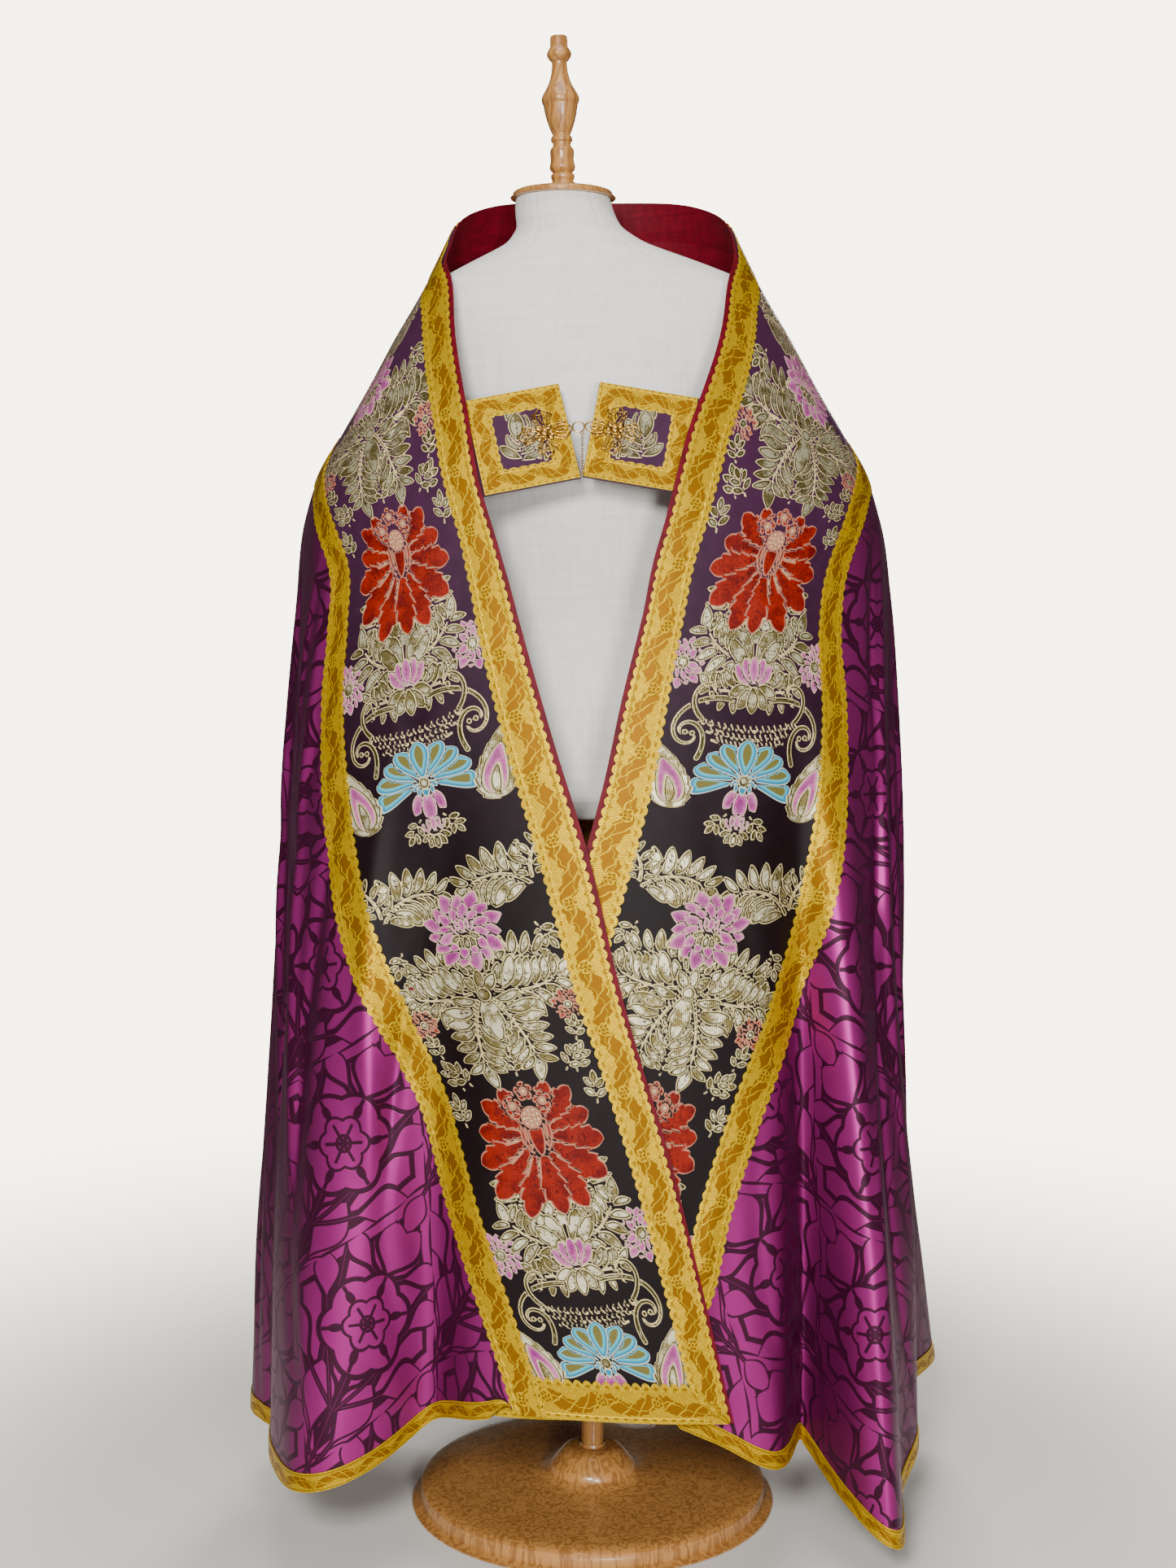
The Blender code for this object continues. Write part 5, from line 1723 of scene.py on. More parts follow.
            area = float(round(min(max(area, 0.31 * cut[0] * cut[1]), 0.99 * cut[0] * cut[1]), 3))
            LOG.info("%s: cut %s, area %.3f", name, cut, area)

    @staticmethod
    def cut_size(flat: Array) -> Point:
        """Return the width and length of the smallest rectangle round a flat cut."""
        best = (1e9, 0.0, 0.0)
        for degrees in range(0, 90, 2):
            turn = math.radians(degrees)
            across = np.ptp(flat @ (math.cos(turn), math.sin(turn)))
            along = np.ptp(flat @ (-math.sin(turn), math.cos(turn)))
            best = min(best, (float(across * along), float(across), float(along)))
        return round(min(best[1:]), 3), round(max(best[1:]), 3)

    def scallops(self, run: Array, shift: float = 0.0) -> Array:
        """Return how far the lace edge stands out along the trim, in metres."""
        return self.scallop_depth * (np.abs(np.sin(math.pi * (run / self.scallop + shift))) ** 0.6 - 0.45)

    def trim(self, name: str, at: Array, run: Array, low: Array, high: Array,
             place: Callable, level: float, rows: int = 9) -> Mesh:
        """Return a trim's mesh between two edges.

        Args:
            name: the mesh's name.
            at: stations.
            run: distance along the trim.
            low: distance across at which it starts, by station.
            high: where it ends.
            place: the drape's method that gives angles and heights across.
            level: height of the cloth under it.
            rows: points across it.
        """
        part = np.linspace(0.0, 1.0, rows)[None]
        across = low[:, None] * (1 - part) + high[:, None] * part
        angle, height = place(at, across)
        crown = 0.0003 * np.sin(math.pi * part)
        width = float((high - low).mean())
        flat = np.stack(np.broadcast_arrays(run[:, None], part * width), axis=-1)
        base = level + TRIM_RISE
        grid = Grid(DRAPE.place(angle, height, base + TRIM_LEVEL + crown), flat)
        mesh = grid.framed(DRAPE.place(angle, height, base)).mesh(name)
        settle(mesh, 50.0)
        return mesh

    def trims(self) -> None:
        """Make the woven trims."""
        at, run = DRAPE.even(0, LAST_ROW, self.edge_lines, GALLOON_WIDTH / 2)
        mitre = np.clip(np.minimum(at, LAST_ROW - at), 0.0, 1.0)
        low = -self.scallops(run)
        high = GALLOON_WIDTH * mitre + self.scallops(run, 0.5) * mitre
        mesh = self.trim("edge", at, run, low, high, DRAPE.band, BAND_LEVEL)
        self.show("galloon_edge", mesh, (GALLOON_WIDTH, run[-1]))
        at, run = DRAPE.even(0, LAST_ROW, self.seam_lines, BAND_WIDTH - GALLOON_WIDTH / 2)
        low = BAND_WIDTH - GALLOON_WIDTH - self.scallops(run)
        high = BAND_WIDTH + self.scallops(run, 0.5) - 0.0006
        mesh = self.trim("seam", at, run, low, high, DRAPE.band, BAND_LEVEL)
        self.show("galloon_seam", mesh, (GALLOON_WIDTH, run[-1]))
        for side, corner in (("left", 0), ("right", LAST_ROW)):
            inward = 1 if corner == 0 else -1
            across = np.linspace(0.0005, BAND_WIDTH - GALLOON_WIDTH - 0.0008, self.bottom_lines)
            reach = np.minimum(across / GALLOON_WIDTH, 1.0)
            wave = self.scallops(across, 0.5) / GALLOON_WIDTH
            part = np.linspace(0.0, 1.0, 9)
            stations = corner + inward * (reach + wave * (reach > 0.99))[:, None] * part[None] * 0.985
            angle = np.zeros_like(stations)
            height = np.zeros_like(stations)
            for row in range(stations.shape[1]):
                angles, heights = DRAPE.band(stations[:, row], across[:, None])
                angle[:, row], height[:, row] = angles[:, 0], heights[:, 0]
            flat = np.stack(np.broadcast_arrays(across[:, None], part[None] * GALLOON_WIDTH), axis=-1)
            base = BAND_LEVEL + TRIM_RISE
            grid = Grid(DRAPE.place(angle, height, base + TRIM_LEVEL), flat)
            mesh = grid.framed(DRAPE.place(angle, height, base)).mesh("bottom", flip=corner == 0)
            settle(mesh, 50.0)
            self.show(f"galloon_bottom_{side}", mesh, (GALLOON_WIDTH, BAND_WIDTH - GALLOON_WIDTH))
        at, _run = DRAPE.even(0.22, LAST_ROW - 0.22, self.hem_lines, BAND_WIDTH)
        rim = DRAPE.surface(*DRAPE.body(at, np.ones((len(at), 1))))[:, 0]
        rim_run = run_along(rim)
        run = np.linspace(0, rim_run[-1], len(at))
        at = np.interp(run, rim_run, at)
        low, high = DRAPE.hem_share(at), np.ones(len(at))
        mesh = self.trim("hem", at, run, low, high, DRAPE.body, CLOTH_LEVEL, rows=6)
        layer = mesh.uv_layers[0]
        values = np.empty(len(layer.data) * 2, dtype=np.float32)
        layer.data.foreach_get("uv", values)
        values = values.reshape(-1, 2)
        values[:, 1] *= HEM_GALLOON_WIDTH / max(values[:, 1].max(), 1e-6)
        layer.data.foreach_set("uv", values.ravel())
        self.show("galloon_hem", mesh, (HEM_GALLOON_WIDTH, run[-1]), self.hem_galloon)

    def show(self, name: str, mesh: Mesh, cut: Point,
             material: Optional[Material] = None) -> None:
        """Link a trim in place of its node."""
        piece = dress(f"{name}_trim", mesh, material or self.galloon, "galloon", name)

    def row(self, start: float, stop: float, across: float, level: float) -> Array:
        """Return a line of points along the band, at a distance across and a level."""
        at, _run = DRAPE.even(start, stop, int((stop - start) * 40), across)
        angle, height = DRAPE.band(at, np.full((len(at), 1), across))
        return DRAPE.place(angle, height, level)[:, 0]

    def sewing(self, strands: Strands, gold: Material, crimson: Material) -> None:
        """Sew the trims down and run the stitch lines of the lining."""
        top = BAND_LEVEL + TRIM_RISE + TRIM_LEVEL + 0.0001
        last = LAST_ROW - 0.2
        gaps = (self.STITCH_MARGIN, GALLOON_WIDTH - self.STITCH_MARGIN)
        edge = [self.row(0.2, last, gap, top) for gap in gaps]
        seam = [self.row(0.2, last, BAND_WIDTH - gap, top) for gap in gaps]
        facing = [self.row(11.0, LAST_ROW - 11.0, across, self.FACING_LEVEL)
                  for across in self.FACING_STITCHES]
        for name, lines, thread, slot in (
            ("edge_stitches", edge, gold, "galloon"), ("seam_stitches", seam, gold, "galloon"),
            ("facing_stitches", facing, crimson, "lining"),
        ):
            mesh = strands.run(name, lines, self.STITCH | {"Material": thread})
            mesh.shade_smooth()
            dress(name, mesh, thread, slot)

    def inside(self) -> None:
        """Make the lining, a little past the free edges."""
        at, run = DRAPE.even(0, LAST_ROW, 230, BAND_WIDTH / 2)
        lip = np.array([-0.007, -0.0035, 0.0, 0.010, 0.022, 0.036, 0.040, 0.0425, 0.046, 0.060])
        across = np.concatenate([lip, np.linspace(0.075, BAND_WIDTH, 10)])
        angle, height = DRAPE.band(at, np.broadcast_to(across, (len(at), len(across))))
        share = np.linspace(0.0, 1.0, 32)[1:]
        low_angle, low_height = DRAPE.body(at, np.broadcast_to(share, (len(at), len(share))))
        angle = np.concatenate([angle, low_angle], axis=1)
        height = np.concatenate([height, low_height], axis=1)
        rows = np.arange(angle.shape[1], dtype=float)[None]
        sink = smoothstep(rows, 2.0, 5.0) * (1 - smoothstep(rows, rows.max() - 2.0, rows.max()))
        ripple = 0.0006 * np.sin(run[:, None] * 190.0) * np.exp(-((rows - 6.5) / 1.2) ** 2)
        puff = np.where(rows < 8, ripple, 0.0)
        seam = -0.0012 * np.exp(-((rows - 6.5) / 0.8) ** 2)
        outer = -TRIM_RISE - 0.0010 * sink
        inner = -TRIM_RISE - 0.0012 - 0.0010 * sink + puff - seam
        flat = np.stack(np.broadcast_arrays(run[:, None], rows * 0.02), axis=-1)
        front = Grid(DRAPE.place(angle, height, outer), flat)
        back = Grid(DRAPE.place(angle, height, np.broadcast_to(inner, angle.shape)), flat)
        mesh = joined_mesh("lining", [
            front.framed(back.points).mesh("outer"), back.mesh("inner", flip=True),
        ])
        settle(mesh, 60.0)
        piece = dress("lining_cloth", mesh, self.lining, "lining", "lining")


# Chest fastening

CHEST_POINT = Vector((-0.08122, -0.17576, 1.28390))
CHEST_RIGHT = Vector((0.99953, 0.03055, 0.0)).normalized()
CHEST_OUT = Vector((0.02884, -0.94322, 0.33117)).normalized()
PANEL_HEIGHT = 0.121
PANEL_THICKNESS = 0.0024
PANEL_FRAME = 0.027
FRAME_LEVEL = 0.0014
FRAME_SCALLOP = 0.0115
FRAME_SCALLOP_DEPTH = 0.0042
CLASP_LEVEL = 0.0017
STONE_LEVEL = 0.0036
# Panels: side, width, world X and Z of the middle, tilt in degrees
PANELS = (
    ("left", 0.112, -0.0812, 1.2839, 11.8),
    ("right", 0.116, 0.0552, 1.2869, -10.2),
)
# Clasps: side, world X and Z of the middle, tilt in degrees, length of the hooked arm
CLASPS = (
    ("left", -0.0553, 1.2903, 11.0, 0.0320),
    ("right", 0.0253, 1.2940, -9.0, 0.0345),
)


def on_chest(across: float, height: float, tilt: float, out: float) -> Matrix:
    """Return the placement of a flat piece of the fastening.

    Args:
        across: world X of its middle.
        height: world Z of its middle.
        tilt: its turn in the fastening's plane, in radians.
        out: distance out from the plane.
    """
    up = CHEST_OUT.cross(CHEST_RIGHT)
    right_share = (across - CHEST_POINT.x) / CHEST_RIGHT.x
    up_share = (height - CHEST_POINT.z - right_share * CHEST_RIGHT.z) / up.z
    place = CHEST_POINT + CHEST_RIGHT * right_share + up * up_share + CHEST_OUT * out
    axes = Matrix((CHEST_RIGHT, up, CHEST_OUT)).transposed().to_4x4()
    return Matrix.Translation(place) @ axes @ Matrix.Rotation(tilt, 4, "Z")


def placed(points: Array, matrix: Matrix) -> Array:
    """Return points moved by a matrix."""
    frame_matrix = np.array(matrix)
    return points @ frame_matrix[:3, :3].T + frame_matrix[:3, 3]


@dataclass
class ChestPanel:
    """One square brocade panel with its mitred gold frame.

    Attributes:
        side: left or right as seen.
        width: its width in metres.
        across: world X of its middle.
        height: world Z of its middle.
        tilt: its tilt in degrees.
        tab: length of the tab that goes under the band's edge.
        tab_sink: how far the tab lies below the panel.
        crown: height of the puff in the panel's middle.
    """

    side: str
    width: float
    across: float
    height: float
    tilt: float
    tab: float = 0.022
    tab_sink: float = 0.00095
    crown: float = 0.0016

    def pad(self, material: Material) -> None:
        """Make the padded panel with its tab and its leaf."""
        outer = -1.0 if self.side == "left" else 1.0
        half, tall = self.width / 2, PANEL_HEIGHT / 2
        reach = np.concatenate([
            np.linspace(-half, -half + 0.003, 4)[:-1], np.linspace(-half + 0.003, half - 0.003, 84),
            np.linspace(half - 0.003, half, 4)[1:], np.linspace(half + 0.0006, half + self.tab, 12),
        ])
        x, y = np.meshgrid(reach, np.linspace(-tall, tall, 96), indexing="ij")
        inner = [np.clip((size - 0.004 - np.abs(value)) / 0.030, 0, 1)
                 for size, value in ((half, x), (tall, y))]
        puff = self.crown * (smoothstep(inner[0], 0, 1) * smoothstep(inner[1], 0, 1)) ** 0.5
        puff = puff * (np.abs(x) < half - PANEL_FRAME + 0.002) * (np.abs(y) < tall - PANEL_FRAME + 0.002)
        edge = 0.0007 * (np.clip(np.abs(x) - half + 0.0018, 0, 0.0018) / 0.0018) ** 2 * (x <= half)
        edge = edge + 0.0007 * (np.clip(np.abs(y) - tall + 0.0018, 0, 0.0018) / 0.0018) ** 2
        sink = np.where(x > half + 0.0004, self.tab_sink, 0.0)
        front = np.stack([x * outer, y, puff - edge - sink], axis=-1)
        back = np.stack([x * outer, y, np.full_like(x, -PANEL_THICKNESS) - sink], axis=-1)
        figure = Brocading(x * outer * 1000, y * 1000)
        for number in range(6):
            figure.petal(LEAF, (outer * 6.0, -26.0 + number * 7.0), 90 + outer * (78 - number * 14),
                         46.0 - number * 3.0, 17.0, 0, 0.0, -outer * 0.18, 0.6, 5.0, 0.65)
        for number in range(3):
            figure.petal(LEAF, (outer * 4.0, -24.0 + number * 8.0), 90 - outer * (60 - number * 22),
                         30.0 - number * 3.0, 13.0, 0, 0.0, outer * 0.18, 0.6, 5.0, 0.7)
        figure.petal(LEAF, (outer * 5.0, -2.0), 90 + outer * 6, 36.0, 19.0, 0, 0.0, 0.0, 0.55, 5.0, 0.65)
        figure.acanthus((outer * -22.0, -30.0), 90.0, 34.0, outer * 40.0, 3, 1.0)
        flat = np.stack([x * outer, y], axis=-1)
        place = on_chest(self.across, self.height, math.radians(self.tilt), 0.0)
        top = Grid(placed(front, place), flat, figure.result())
        low = Grid(placed(back, place), flat, figure.result())
        turned_over = outer < 0
        mesh = joined_mesh("panel", [
            top.framed(low.points).mesh("front", flip=turned_over), low.mesh("back", flip=not turned_over)])
        settle(mesh, 55.0)
        piece = dress(f"morse_{self.side}_pad", mesh, material, "brocade", f"morse_{self.side}")

    def border(self, material: Material) -> None:
        """Make the gold frame of four mitred strips."""
        strips = []
        place = on_chest(self.across, self.height, math.radians(self.tilt), 0.0)
        for turn in range(4):
            half, tall = (self.width / 2, PANEL_HEIGHT / 2)[::1 if turn % 2 == 0 else -1]
            share = np.linspace(-1.0, 1.0, 90)[:, None]
            part = np.linspace(0.0, 1.0, 9)[None]
            scallops = share * (half - PANEL_FRAME) / FRAME_SCALLOP
            wave = FRAME_SCALLOP_DEPTH * (np.abs(np.sin(math.pi * scallops)) ** 0.6 - 0.5)
            inward = 0.0007 + part * (PANEL_FRAME + wave * (np.abs(share) < 0.97))
            x = share * (half - inward - 0.00012)
            y = inward - tall
            level = FRAME_LEVEL + 0.0004 * np.sin(math.pi * part) * np.ones_like(share)
            angle = turn * math.pi / 2
            cos, sin = round(math.cos(angle)), round(math.sin(angle))
            points = [np.stack([x * cos - y * sin, x * sin + y * cos, z], axis=-1)
                      for z in (level, np.full_like(level, TRIM_RISE))]
            flat = np.stack(np.broadcast_arrays(x + 0.1 * turn, inward), axis=-1)
            grid = Grid(placed(points[0], place), flat)
            strips.append(grid.framed(placed(points[1], place)).mesh("strip"))
        mesh = joined_mesh("frame", strips)
        settle(mesh, 50.0)
        node = f"morse_galloon_{self.side}"
        piece = dress(f"{node}_trim", mesh, material, "galloon", node)


@dataclass
class Clasp:
    """One filigree cross: heart loops, curls, beads and a flower with a stone.

    Attributes:
        side: left or right as seen.
        across: world X of its middle.
        height: world Z of its middle.
        tilt: its tilt in degrees.
        link_arm: length of the arm that is hooked.
        arm: length of the other three arms.
    """

    side: str
    across: float
    height: float
    tilt: float
    link_arm: float
    arm: float = 0.0300

    LOOP_WIRE = {"Wire Radius": 0.00104, "Bead Radius": 0.00120, "Bead Spacing": 0.0042}
    CURL_WIRE = {"Wire Radius": 0.00072, "Bead Radius": 0.00084, "Bead Spacing": 0.0060}
    # The stone and its collet, from the middle of the back round to the middle of the front
    STONE = (
        (0.0, 0.0), (0.0060, 0.0), (0.0061, 0.0010), (0.0053, 0.0012), (0.0050, 0.0009),
        (0.0046, 0.0020), (0.0034, 0.0030), (0.0016, 0.0035), (0.0, 0.0036),
    )
    STONE_BEADS = 18

    def matrix(self, out: float) -> Matrix:
        """Return the clasp's placement, with the hooked arm along its own right."""
        turn = math.radians(self.tilt) + (math.pi if self.side == "right" else 0.0)
        return on_chest(self.across, self.height, turn, out)

    def heart(self, reach: float, wide: float, start: float) -> Array:
        """Return a heart-shaped loop that points outwards along +X."""
        turn = np.linspace(0, 2 * math.pi, 44, endpoint=False)
        length = reach - start
        x = start + length * (0.5 - 0.5 * np.cos(turn))
        y = wide * np.sin(turn) * (0.55 + 0.55 * np.sin(turn / 2) ** 2)
        x = x + 0.0012 * np.exp(-((np.abs(turn - math.pi)) / 0.35) ** 2)
        return np.stack([x, y, np.zeros_like(x)], axis=-1)

    def curl(self, base: Point, way: float, size: float, hand: int) -> Array:
        """Return a spiral that starts at base and winds in."""
        steps = 30
        points = []
        x, y = base
        for step in range(steps):
            points.append((x, y, 0.0))
            part = step / steps
            stride = size * 0.135 * (1.04 - part)
            x += math.cos(way) * stride
            y += math.sin(way) * stride
            way += hand * (0.10 + 0.42 * part)
        return np.array(points)

    def lines(self) -> tuple[list[Array], list[Array]]:
        """Return the closed loops and the open curls, flat round the clasp's middle."""
        loops, curls = [], []
        for arm in range(4):
            angle = arm * math.pi / 2
            reach = self.link_arm if arm == 0 else self.arm
            turn = np.array([[math.cos(angle), math.sin(angle), 0], [-math.sin(angle), math.cos(angle), 0],
                             [0, 0, 1]])
            loops.append(self.heart(reach - 0.0010, 0.0078, 0.0070) @ turn)
            loops.append(self.heart(reach - 0.0074, 0.0026, 0.0130) @ turn)
            for hand in (-1, 1):
                curls.append(self.curl((0.0075, hand * 0.0030), hand * 0.95, 0.0135, -hand) @ turn)
                curls.append(self.curl((0.0155, hand * 0.0058), hand * 1.25, 0.0085, -hand) @ turn)
        return loops, curls

    def build(self, wires: Strands, material: Material) -> None:
        """Make the filigree and the flower's cups."""
        loops, curls = self.lines()
        place = self.matrix(CLASP_LEVEL + 0.0009)
        base = {"Wire Sides": 6, "Material": material, "Bead Detail": 1}
        meshes = [
            wires.run("loops", [placed(line, place) for line in loops],
                      base | self.LOOP_WIRE, True),
            wires.run("curls", [placed(line, place) for line in curls], base | self.CURL_WIRE),
        ]
        shape = bmesh.new()
        for arm in range(4):
            for offset, size in ((0.5, 1.0), (0.0, 0.72)):
                angle = (arm + offset) * math.pi / 2
                middle = Vector((math.cos(angle), math.sin(angle), 0.0)) * (0.0066 * size + 0.0022)
                cup = bmesh.ops.create_uvsphere(shape, u_segments=14, v_segments=8, radius=0.0034 * size)
                bmesh.ops.transform(shape, verts=cup["verts"], matrix=Matrix.Translation(
                    (middle.x, middle.y, 0.0008)) @ Matrix.Rotation(angle, 4, "Z") @ Matrix.Diagonal(
                        (1.25, 0.82, 0.42, 1.0)))
        disc = bmesh.ops.create_cone(shape, cap_ends=True, segments=32, radius1=0.0072, radius2=0.0064,
                                     depth=0.0010)
        bmesh.ops.translate(shape, verts=disc["verts"], vec=(0.0, 0.0, 0.0004))
        bmesh.ops.transform(shape, verts=shape.verts, matrix=place)
        mesh = joined_mesh("filigree", meshes + [finished(shape, "cups")])
        mesh.shade_smooth()
        dress(f"clasp_{self.side}_filigree", mesh, material, "gilt", f"clasp_{self.side}")

    def stone(self, material: Material) -> None:
        """Make the raised stone with its beaded collet."""
        mesh = lathe("stone", self.STONE, 32, 2)
        shape = bmesh.new()
        shape.from_mesh(mesh)
        for step in range(self.STONE_BEADS):
            angle = 2 * math.pi * step / self.STONE_BEADS
            bead = bmesh.ops.create_icosphere(shape, subdivisions=1, radius=0.00062)
            bmesh.ops.translate(shape, verts=bead["verts"],
                                vec=(0.0056 * math.cos(angle), 0.0056 * math.sin(angle), 0.0013))
        bmesh.ops.transform(shape, verts=shape.verts, matrix=self.matrix(STONE_LEVEL))
        shape.to_mesh(mesh)
        shape.free()
        mesh.shade_smooth()
        dress(f"clasp_{self.side}_stone", mesh, material, "gilt", f"clasp_stone_{self.side}")

    def tip(self) -> Vector:
        """Return the end of the hooked arm."""
        return self.matrix(CLASP_LEVEL + 0.0008) @ Vector((self.link_arm, 0.0, 0.0))


@dataclass
class Hook:
    """The ring between the clasps and the short chain that hangs from it.

    Attributes:
        left: the clasp on the left.
        right: the clasp on the right.
        wire: radius of the ring's wire.
        chain: length of the chain.
        side_step: how far the chain hangs from the ring's middle.
        links: number of links in the chain.
        link_length: length of one link.
        link_width: half its width.
        link_wire: radius of its wire.
    """

    left: Clasp
    right: Clasp
    wire: float = 0.0008
    chain: float = 0.054
    side_step: float = 0.0040
    links: int = 15
    link_length: float = 0.0046
    link_width: float = 0.00125
    link_wire: float = 0.00042

    def build(self, wires: Strands, material: Material) -> None:
        """Make the ring and the chain's links."""
        first, last = self.left.tip(), self.right.tip()
        middle = (first + last) / 2
        radius = (last - first).length / 2 - TRIM_RISE - self.wire
        up = CHEST_OUT.cross(CHEST_RIGHT)
        turn = np.linspace(0, 2 * math.pi, 48, endpoint=False)
        ring = np.array([middle + (CHEST_RIGHT * math.cos(a) + up * math.sin(a)) * radius for a in turn])
        base = {"Wire Sides": 8, "Material": material, "Bead Detail": 1, "Bead Radius": 0.0002,
                "Bead Spacing": 0.002}
        mesh = wires.run("ring", [ring], base | {"Wire Radius": self.wire}, True)
        mesh.shade_smooth()
        dress("clasp_ring", mesh, material, "gilt", "clasp_link")
        top = middle + CHEST_RIGHT * self.side_step + CHEST_OUT * (0.0019 - self.wire)
        top -= up * (math.sqrt(radius ** 2 - self.side_step ** 2) + self.wire)
        links = []
        for number in range(self.links):
            centre = top - up * (0.0018 + (self.chain - 0.0040) * number / (self.links - 1))
            wide = CHEST_RIGHT if number % 2 == 0 else CHEST_OUT
            links.append(np.array([
                centre + up * (self.link_length / 2 * math.cos(a)) + wide * (self.link_width * math.sin(a))
                for a in turn[::2]]))
        mesh = wires.run("chain", links, base | {"Wire Radius": self.link_wire}, True)
        mesh.shade_smooth()
        dress("hanging_chain", mesh, material, "gilt", "clasp_chain")


# Form and stand

@dataclass
class Stand:
    """The linen-covered form, its neck cap, finial, pole and base.

    Attributes:
        linen: finish of the form's cover.
        wood: finish of the turned pieces.
    """

    linen: Material
    wood: Material

    RINGS = (
        (0.800, 0.060, 0.045), (0.806, 0.135, 0.100), (0.830, 0.158, 0.117), (0.920, 0.166, 0.122),
        (1.060, 0.143, 0.104), (1.200, 0.165, 0.118), (1.310, 0.190, 0.122), (1.385, 0.208, 0.108),
        (1.425, 0.214, 0.092), (1.455, 0.196, 0.078), (1.480, 0.140, 0.070), (1.502, 0.086, 0.064),
        (1.522, 0.064, 0.060), (1.558, 0.058, 0.058),
    )
    FINIAL = (
        (0.0000, 0.0000), (0.0150, 0.0000), (0.0150, 0.0060), (0.0130, 0.0080), (0.0145, 0.0120),
        (0.0145, 0.0160), (0.0120, 0.0180), (0.0150, 0.0220), (0.0160, 0.0260), (0.0145, 0.0340),
        (0.0150, 0.0440), (0.0140, 0.0480), (0.0115, 0.0510), (0.0115, 0.0555), (0.0135, 0.0580),
        (0.0130, 0.0620), (0.0110, 0.0650), (0.0140, 0.0720), (0.0190, 0.0880), (0.0215, 0.1020),
        (0.0225, 0.1040), (0.0235, 0.1080), (0.0225, 0.1130), (0.0180, 0.1210), (0.0135, 0.1300),
        (0.0105, 0.1420), (0.0095, 0.1540), (0.0120, 0.1570), (0.0150, 0.1620), (0.0150, 0.1660),
        (0.0125, 0.1710), (0.0110, 0.1740), (0.0108, 0.1830), (0.0090, 0.1870), (0.0, 0.1880),
    )
    CAP = ((0.0, 0.0), (0.0600, 0.0), (0.0620, 0.0030), (0.0580, 0.0090), (0.0300, 0.0130), (0.0, 0.0130))
    BASE = (
        (0.0, 0.0), (0.205, 0.0), (0.210, 0.006), (0.208, 0.018), (0.196, 0.026), (0.070, 0.030),
        (0.050, 0.044), (0.030, 0.062), (0.0, 0.062),
    )
    # The neck's shift to the side, the height where it starts, the form's sewn seams (their
    # angles, depth, and width in radians), its corners round, and the finial's lean in degrees
    NECK_SHIFT = -0.036
    NECK_START = 1.44
    SEAMS = (0.0, 0.62, -0.62, math.pi / 2, -math.pi / 2, math.pi, math.pi - 0.62, math.pi + 0.62)
    SEAM_DEPTH = 0.0012
    SEAM_WIDTH = 0.012
    SIDES = 132
    LEAN = 1.7

    def form(self) -> None:
        """Make the form as a smooth loft with seams down its sides and fronts."""
        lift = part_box("dress_form")[1][2] - self.RINGS[-1][0]
        heights = np.concatenate([
            np.linspace(0.800, 0.830, 10)[:-1], np.linspace(0.830, 1.425, 70)[:-1],
            np.linspace(1.425, 1.558, 40),
        ])
        turn = np.linspace(0, 2 * math.pi, self.SIDES, endpoint=False)[:, None]
        table = np.array(self.RINGS)
        wide, deep = (np.interp(heights, table[:, 0], table[:, column]) for column in (1, 2))
        kernel = np.array([0.25, 0.5, 0.25])
        for _step in range(3):
            inner = slice(10, -1)
            wide[inner] = np.convolve(wide, kernel, "same")[inner]
            deep[inner] = np.convolve(deep, kernel, "same")[inner]
        shift = self.NECK_SHIFT * smoothstep(heights, self.NECK_START, heights[-1])
        groove = 0.0
        for seam in self.SEAMS:
            away = np.abs((turn + math.pi - seam) % (2 * math.pi) - math.pi)
            groove = groove + self.SEAM_DEPTH * np.exp(-(away / self.SEAM_WIDTH) ** 2)
        x = shift[None] + (wide[None] - groove) * np.sin(turn)
        y = -(deep[None] - groove) * np.cos(turn)
        points = np.stack(np.broadcast_arrays(x, y, (heights + lift)[None]), axis=-1)
        shape = bmesh.new()
        rings = [[shape.verts.new(points[side, ring]) for side in range(self.SIDES)]
                 for ring in range(len(heights))]
        for under, over in zip(rings, rings[1:]):
            for side in range(self.SIDES):
                after = (side + 1) % self.SIDES
                shape.faces.new((under[side], under[after], over[after], over[side]))
        shape.faces.new(rings[0][::-1])
        shape.faces.new(rings[-1])
        bmesh.ops.recalc_face_normals(shape, faces=shape.faces)
        mesh = finished(shape, "form")
        smooth(mesh, 50.0)
        dress("form_cover", mesh, self.linen, "linen", "dress_form")

    def turned(self, name: str, node: str, profile: Sequence[Point], rounding: int,
               place: Matrix) -> None:
        """Turn one wooden piece and stand it in its place."""
        mesh = lathe(name, profile, 72, rounding)
        mesh.transform(place)
        dress(name, mesh, self.wood, "wood", node)

    def build(self) -> None:
        """Make the form and every wooden piece."""
        self.form()
        cap_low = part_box("neck_cap")[0][2]
        place = Matrix.Translation((self.NECK_SHIFT, 0.0, cap_low))
        self.turned("cap_turning", "neck_cap", self.CAP, 4, place)
        finial_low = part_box("neck_cap")[1][2] + 2 * TRIM_RISE
        place = Matrix.Translation((self.NECK_SHIFT, 0.0, finial_low))
        self.turned("finial_turning", "finial", self.FINIAL, 4,
                    place @ Matrix.Rotation(math.radians(-self.LEAN), 4, "Y"))
        self.turned("base_turning", "base", self.BASE, 4, Matrix.Identity(4))
        low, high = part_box("pole")
        radius = high[0]
        pole = ((0.0, low[2]), (radius, low[2]), (radius, low[2] + 0.004), (radius * 0.9, low[2] + 0.010),
                (radius * 0.9, high[2] - 0.012), (radius, high[2] - 0.006), (radius, high[2]), (0.0, high[2]))
        self.turned("pole_turning", "pole", pole, 3, Matrix.Identity(4))


# Studio

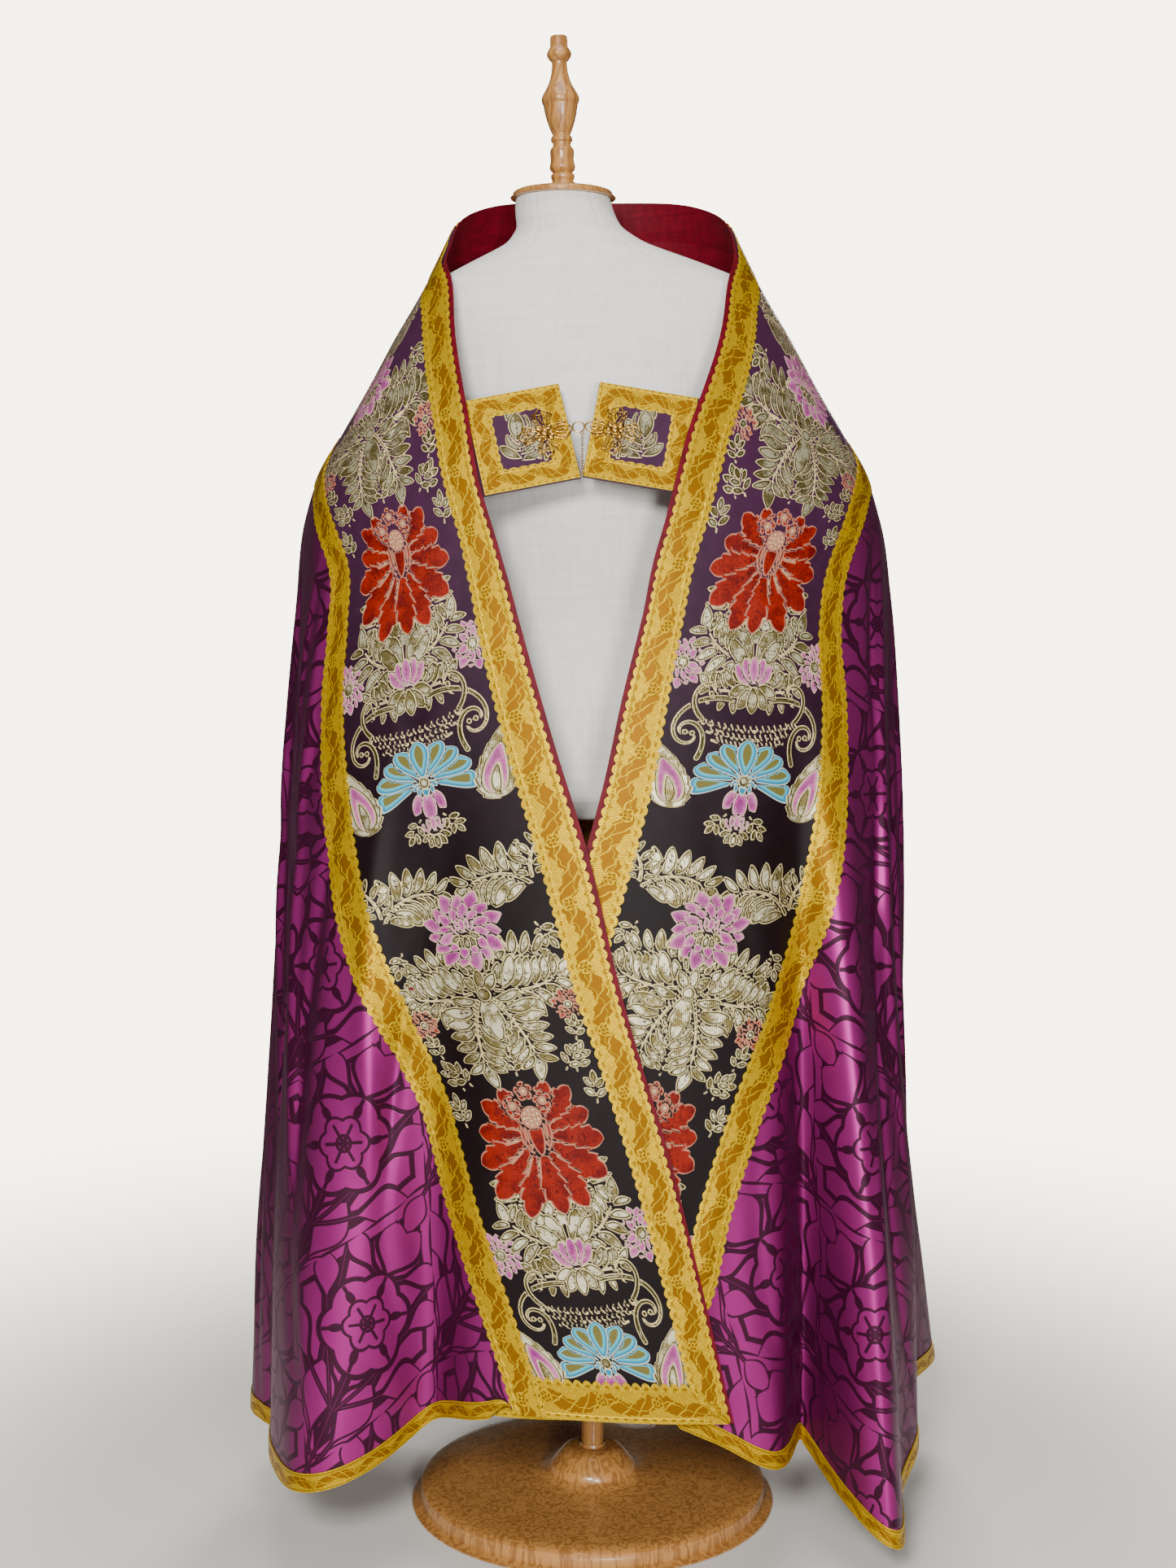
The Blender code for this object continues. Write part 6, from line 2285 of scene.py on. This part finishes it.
@dataclass
class Studio:
    """Camera, lights, background and floor.

    Attributes:
        floor: finish of the floor.
        eye: where the camera stands.
        lens: its focal length in millimetres.
        rise: its shift upwards, in widths of the picture.
        background: colour of the world.
        ambient: strength of the world as a light.
        backdrop: strength of the world as it is seen.
        floor_drop: how far the floor lies below the base, in metres.
    """

    floor: Material
    eye: Colour = (-0.0055, -2.60, 1.10)
    lens: float = 48.57
    rise: float = -0.1175
    background: Colour = (1.0, 0.94, 0.79)
    ambient: float = 0.14
    backdrop: float = 6.5
    floor_drop: float = 0.0005

    # Name, place, height aimed at on the axis, side of the square, watts, colour
    LAMPS = (
        ("key", (-0.5, -3.5, 2.0), 0.85, 0.6, 128.0, (1.0, 0.99, 0.97)),
        ("front", (0.7, -3.5, 1.1), 0.70, 0.6, 66.0, (1.0, 0.99, 0.98)),
        ("top", (0.0, -0.8, 3.4), 1.2, 1.4, 28.0, (1.0, 0.99, 0.97)),
        ("back", (0.6, 3.4, 2.2), 0.90, 1.2, 110.0, (1.0, 0.98, 0.96)),
    )

    def camera(self) -> None:
        """Stand the camera level in front, at the height of the fastening."""
        data = bpy.data.cameras.new("camera")
        data.lens = self.lens
        data.sensor_width = 36.0
        data.shift_y = self.rise
        eye = bpy.data.objects.new("camera", data)
        eye.location = self.eye
        eye.rotation_euler = (math.pi / 2, 0.0, 0.0)
        bpy.context.scene.collection.objects.link(eye)
        bpy.context.scene.camera = eye

    def lamp(self, name: str, at: Colour, aim: Colour, size: float, watts: float, colour: Colour) -> None:
        """Hang one square soft light.

        Args:
            name: its name.
            at: where it hangs.
            aim: the point it faces.
            size: side of the square in metres.
            watts: its power.
            colour: its colour.
        """
        data = bpy.data.lights.new(name, "AREA")
        data.size = size
        data.energy = watts
        data.color = colour
        item = bpy.data.objects.new(name, data)
        item.location = at
        item.rotation_euler = (Vector(aim) - Vector(at)).to_track_quat("-Z", "Y").to_euler()
        bpy.context.scene.collection.objects.link(item)

    def lights(self) -> None:
        """Hang the lights and set the background."""
        for name, at, height, size, watts, colour in self.LAMPS:
            self.lamp(name, at, (0.0, 0.0, height), size, watts, colour)
        world = bpy.data.worlds.new("studio")
        world.use_nodes = True
        tree = world.node_tree
        tree.nodes.clear()
        path, output = tree.nodes.new("ShaderNodeLightPath"), tree.nodes.new("ShaderNodeOutputWorld")
        both = tree.nodes.new("ShaderNodeMixShader")
        for slot, strength in ((1, self.ambient), (2, self.backdrop)):
            shade = tree.nodes.new("ShaderNodeBackground")
            shade.inputs["Color"].default_value = (*self.background, 1.0)
            shade.inputs["Strength"].default_value = strength
            tree.links.new(shade.outputs[0], both.inputs[slot])
        tree.links.new(path.outputs["Is Camera Ray"], both.inputs[0])
        tree.links.new(both.outputs[0], output.inputs[0])
        bpy.context.scene.world = world

    def ground(self) -> None:
        """Lay the floor, a disc whose edge fades out of sight behind."""
        shape = bmesh.new()
        bmesh.ops.create_circle(shape, cap_ends=True, segments=96, radius=6.0)
        bmesh.ops.translate(shape, verts=shape.verts, vec=(0.0, 0.0, -self.floor_drop))
        link("floor", finished(shape, "floor"), self.floor)


# Everything in order

def main() -> None:
    """Build the pieces in order and report each."""
    logging.basicConfig(level=logging.INFO, format="%(message)s")
    studio = Studio(Floor().material())
    studio.camera()
    studio.lights()
    studio.ground()
    LOG.info("studio ready")
    garment = Garment(
        damask=Damask().material(), brocade=Brocade().material(), galloon=Galloon().material(),
        hem_galloon=Galloon("hem_galloon", HEM_GALLOON_WIDTH, 0.048, 0.0).material(),
        lining=LINING.material(),
    )
    for side in ("left", "right"):
        garment.band(side)
        LOG.info("band %s laid", side)
    garment.cloak()
    LOG.info("cloak laid")
    garment.trims()
    LOG.info("trims laid")
    garment.inside()
    LOG.info("lining laid")
    garment.sewing(stitch_tree(), GOLD_THREAD.material(), CRIMSON_THREAD.material())
    LOG.info("stitches sewn")
    wires, gilt = wire_tree(), Gilt().material()
    frame_gold = Galloon("frame_galloon", PANEL_FRAME, 0.040, 0.0085).material()
    for row in PANELS:
        panel = ChestPanel(*row)
        panel.pad(garment.brocade)
        panel.border(frame_gold)
    clasps = [Clasp(*row) for row in CLASPS]
    for clasp in clasps:
        clasp.build(wires, gilt)
        clasp.stone(gilt)
    Hook(*clasps).build(wires, gilt)
    LOG.info("chest fastening laid")
    Stand(LINEN.material(), Wood().material()).build()
    LOG.info("form and stand laid")
    counts = {piece.name: sum(len(face.vertices) - 2 for face in piece.data.polygons)
              for piece in bpy.context.scene.objects if piece.type == "MESH" and not piece.hide_render}
    LOG.info("triangles: %d in all, at most %d in a piece", sum(counts.values()), max(counts.values()))


if __name__ == "__main__":
    main()
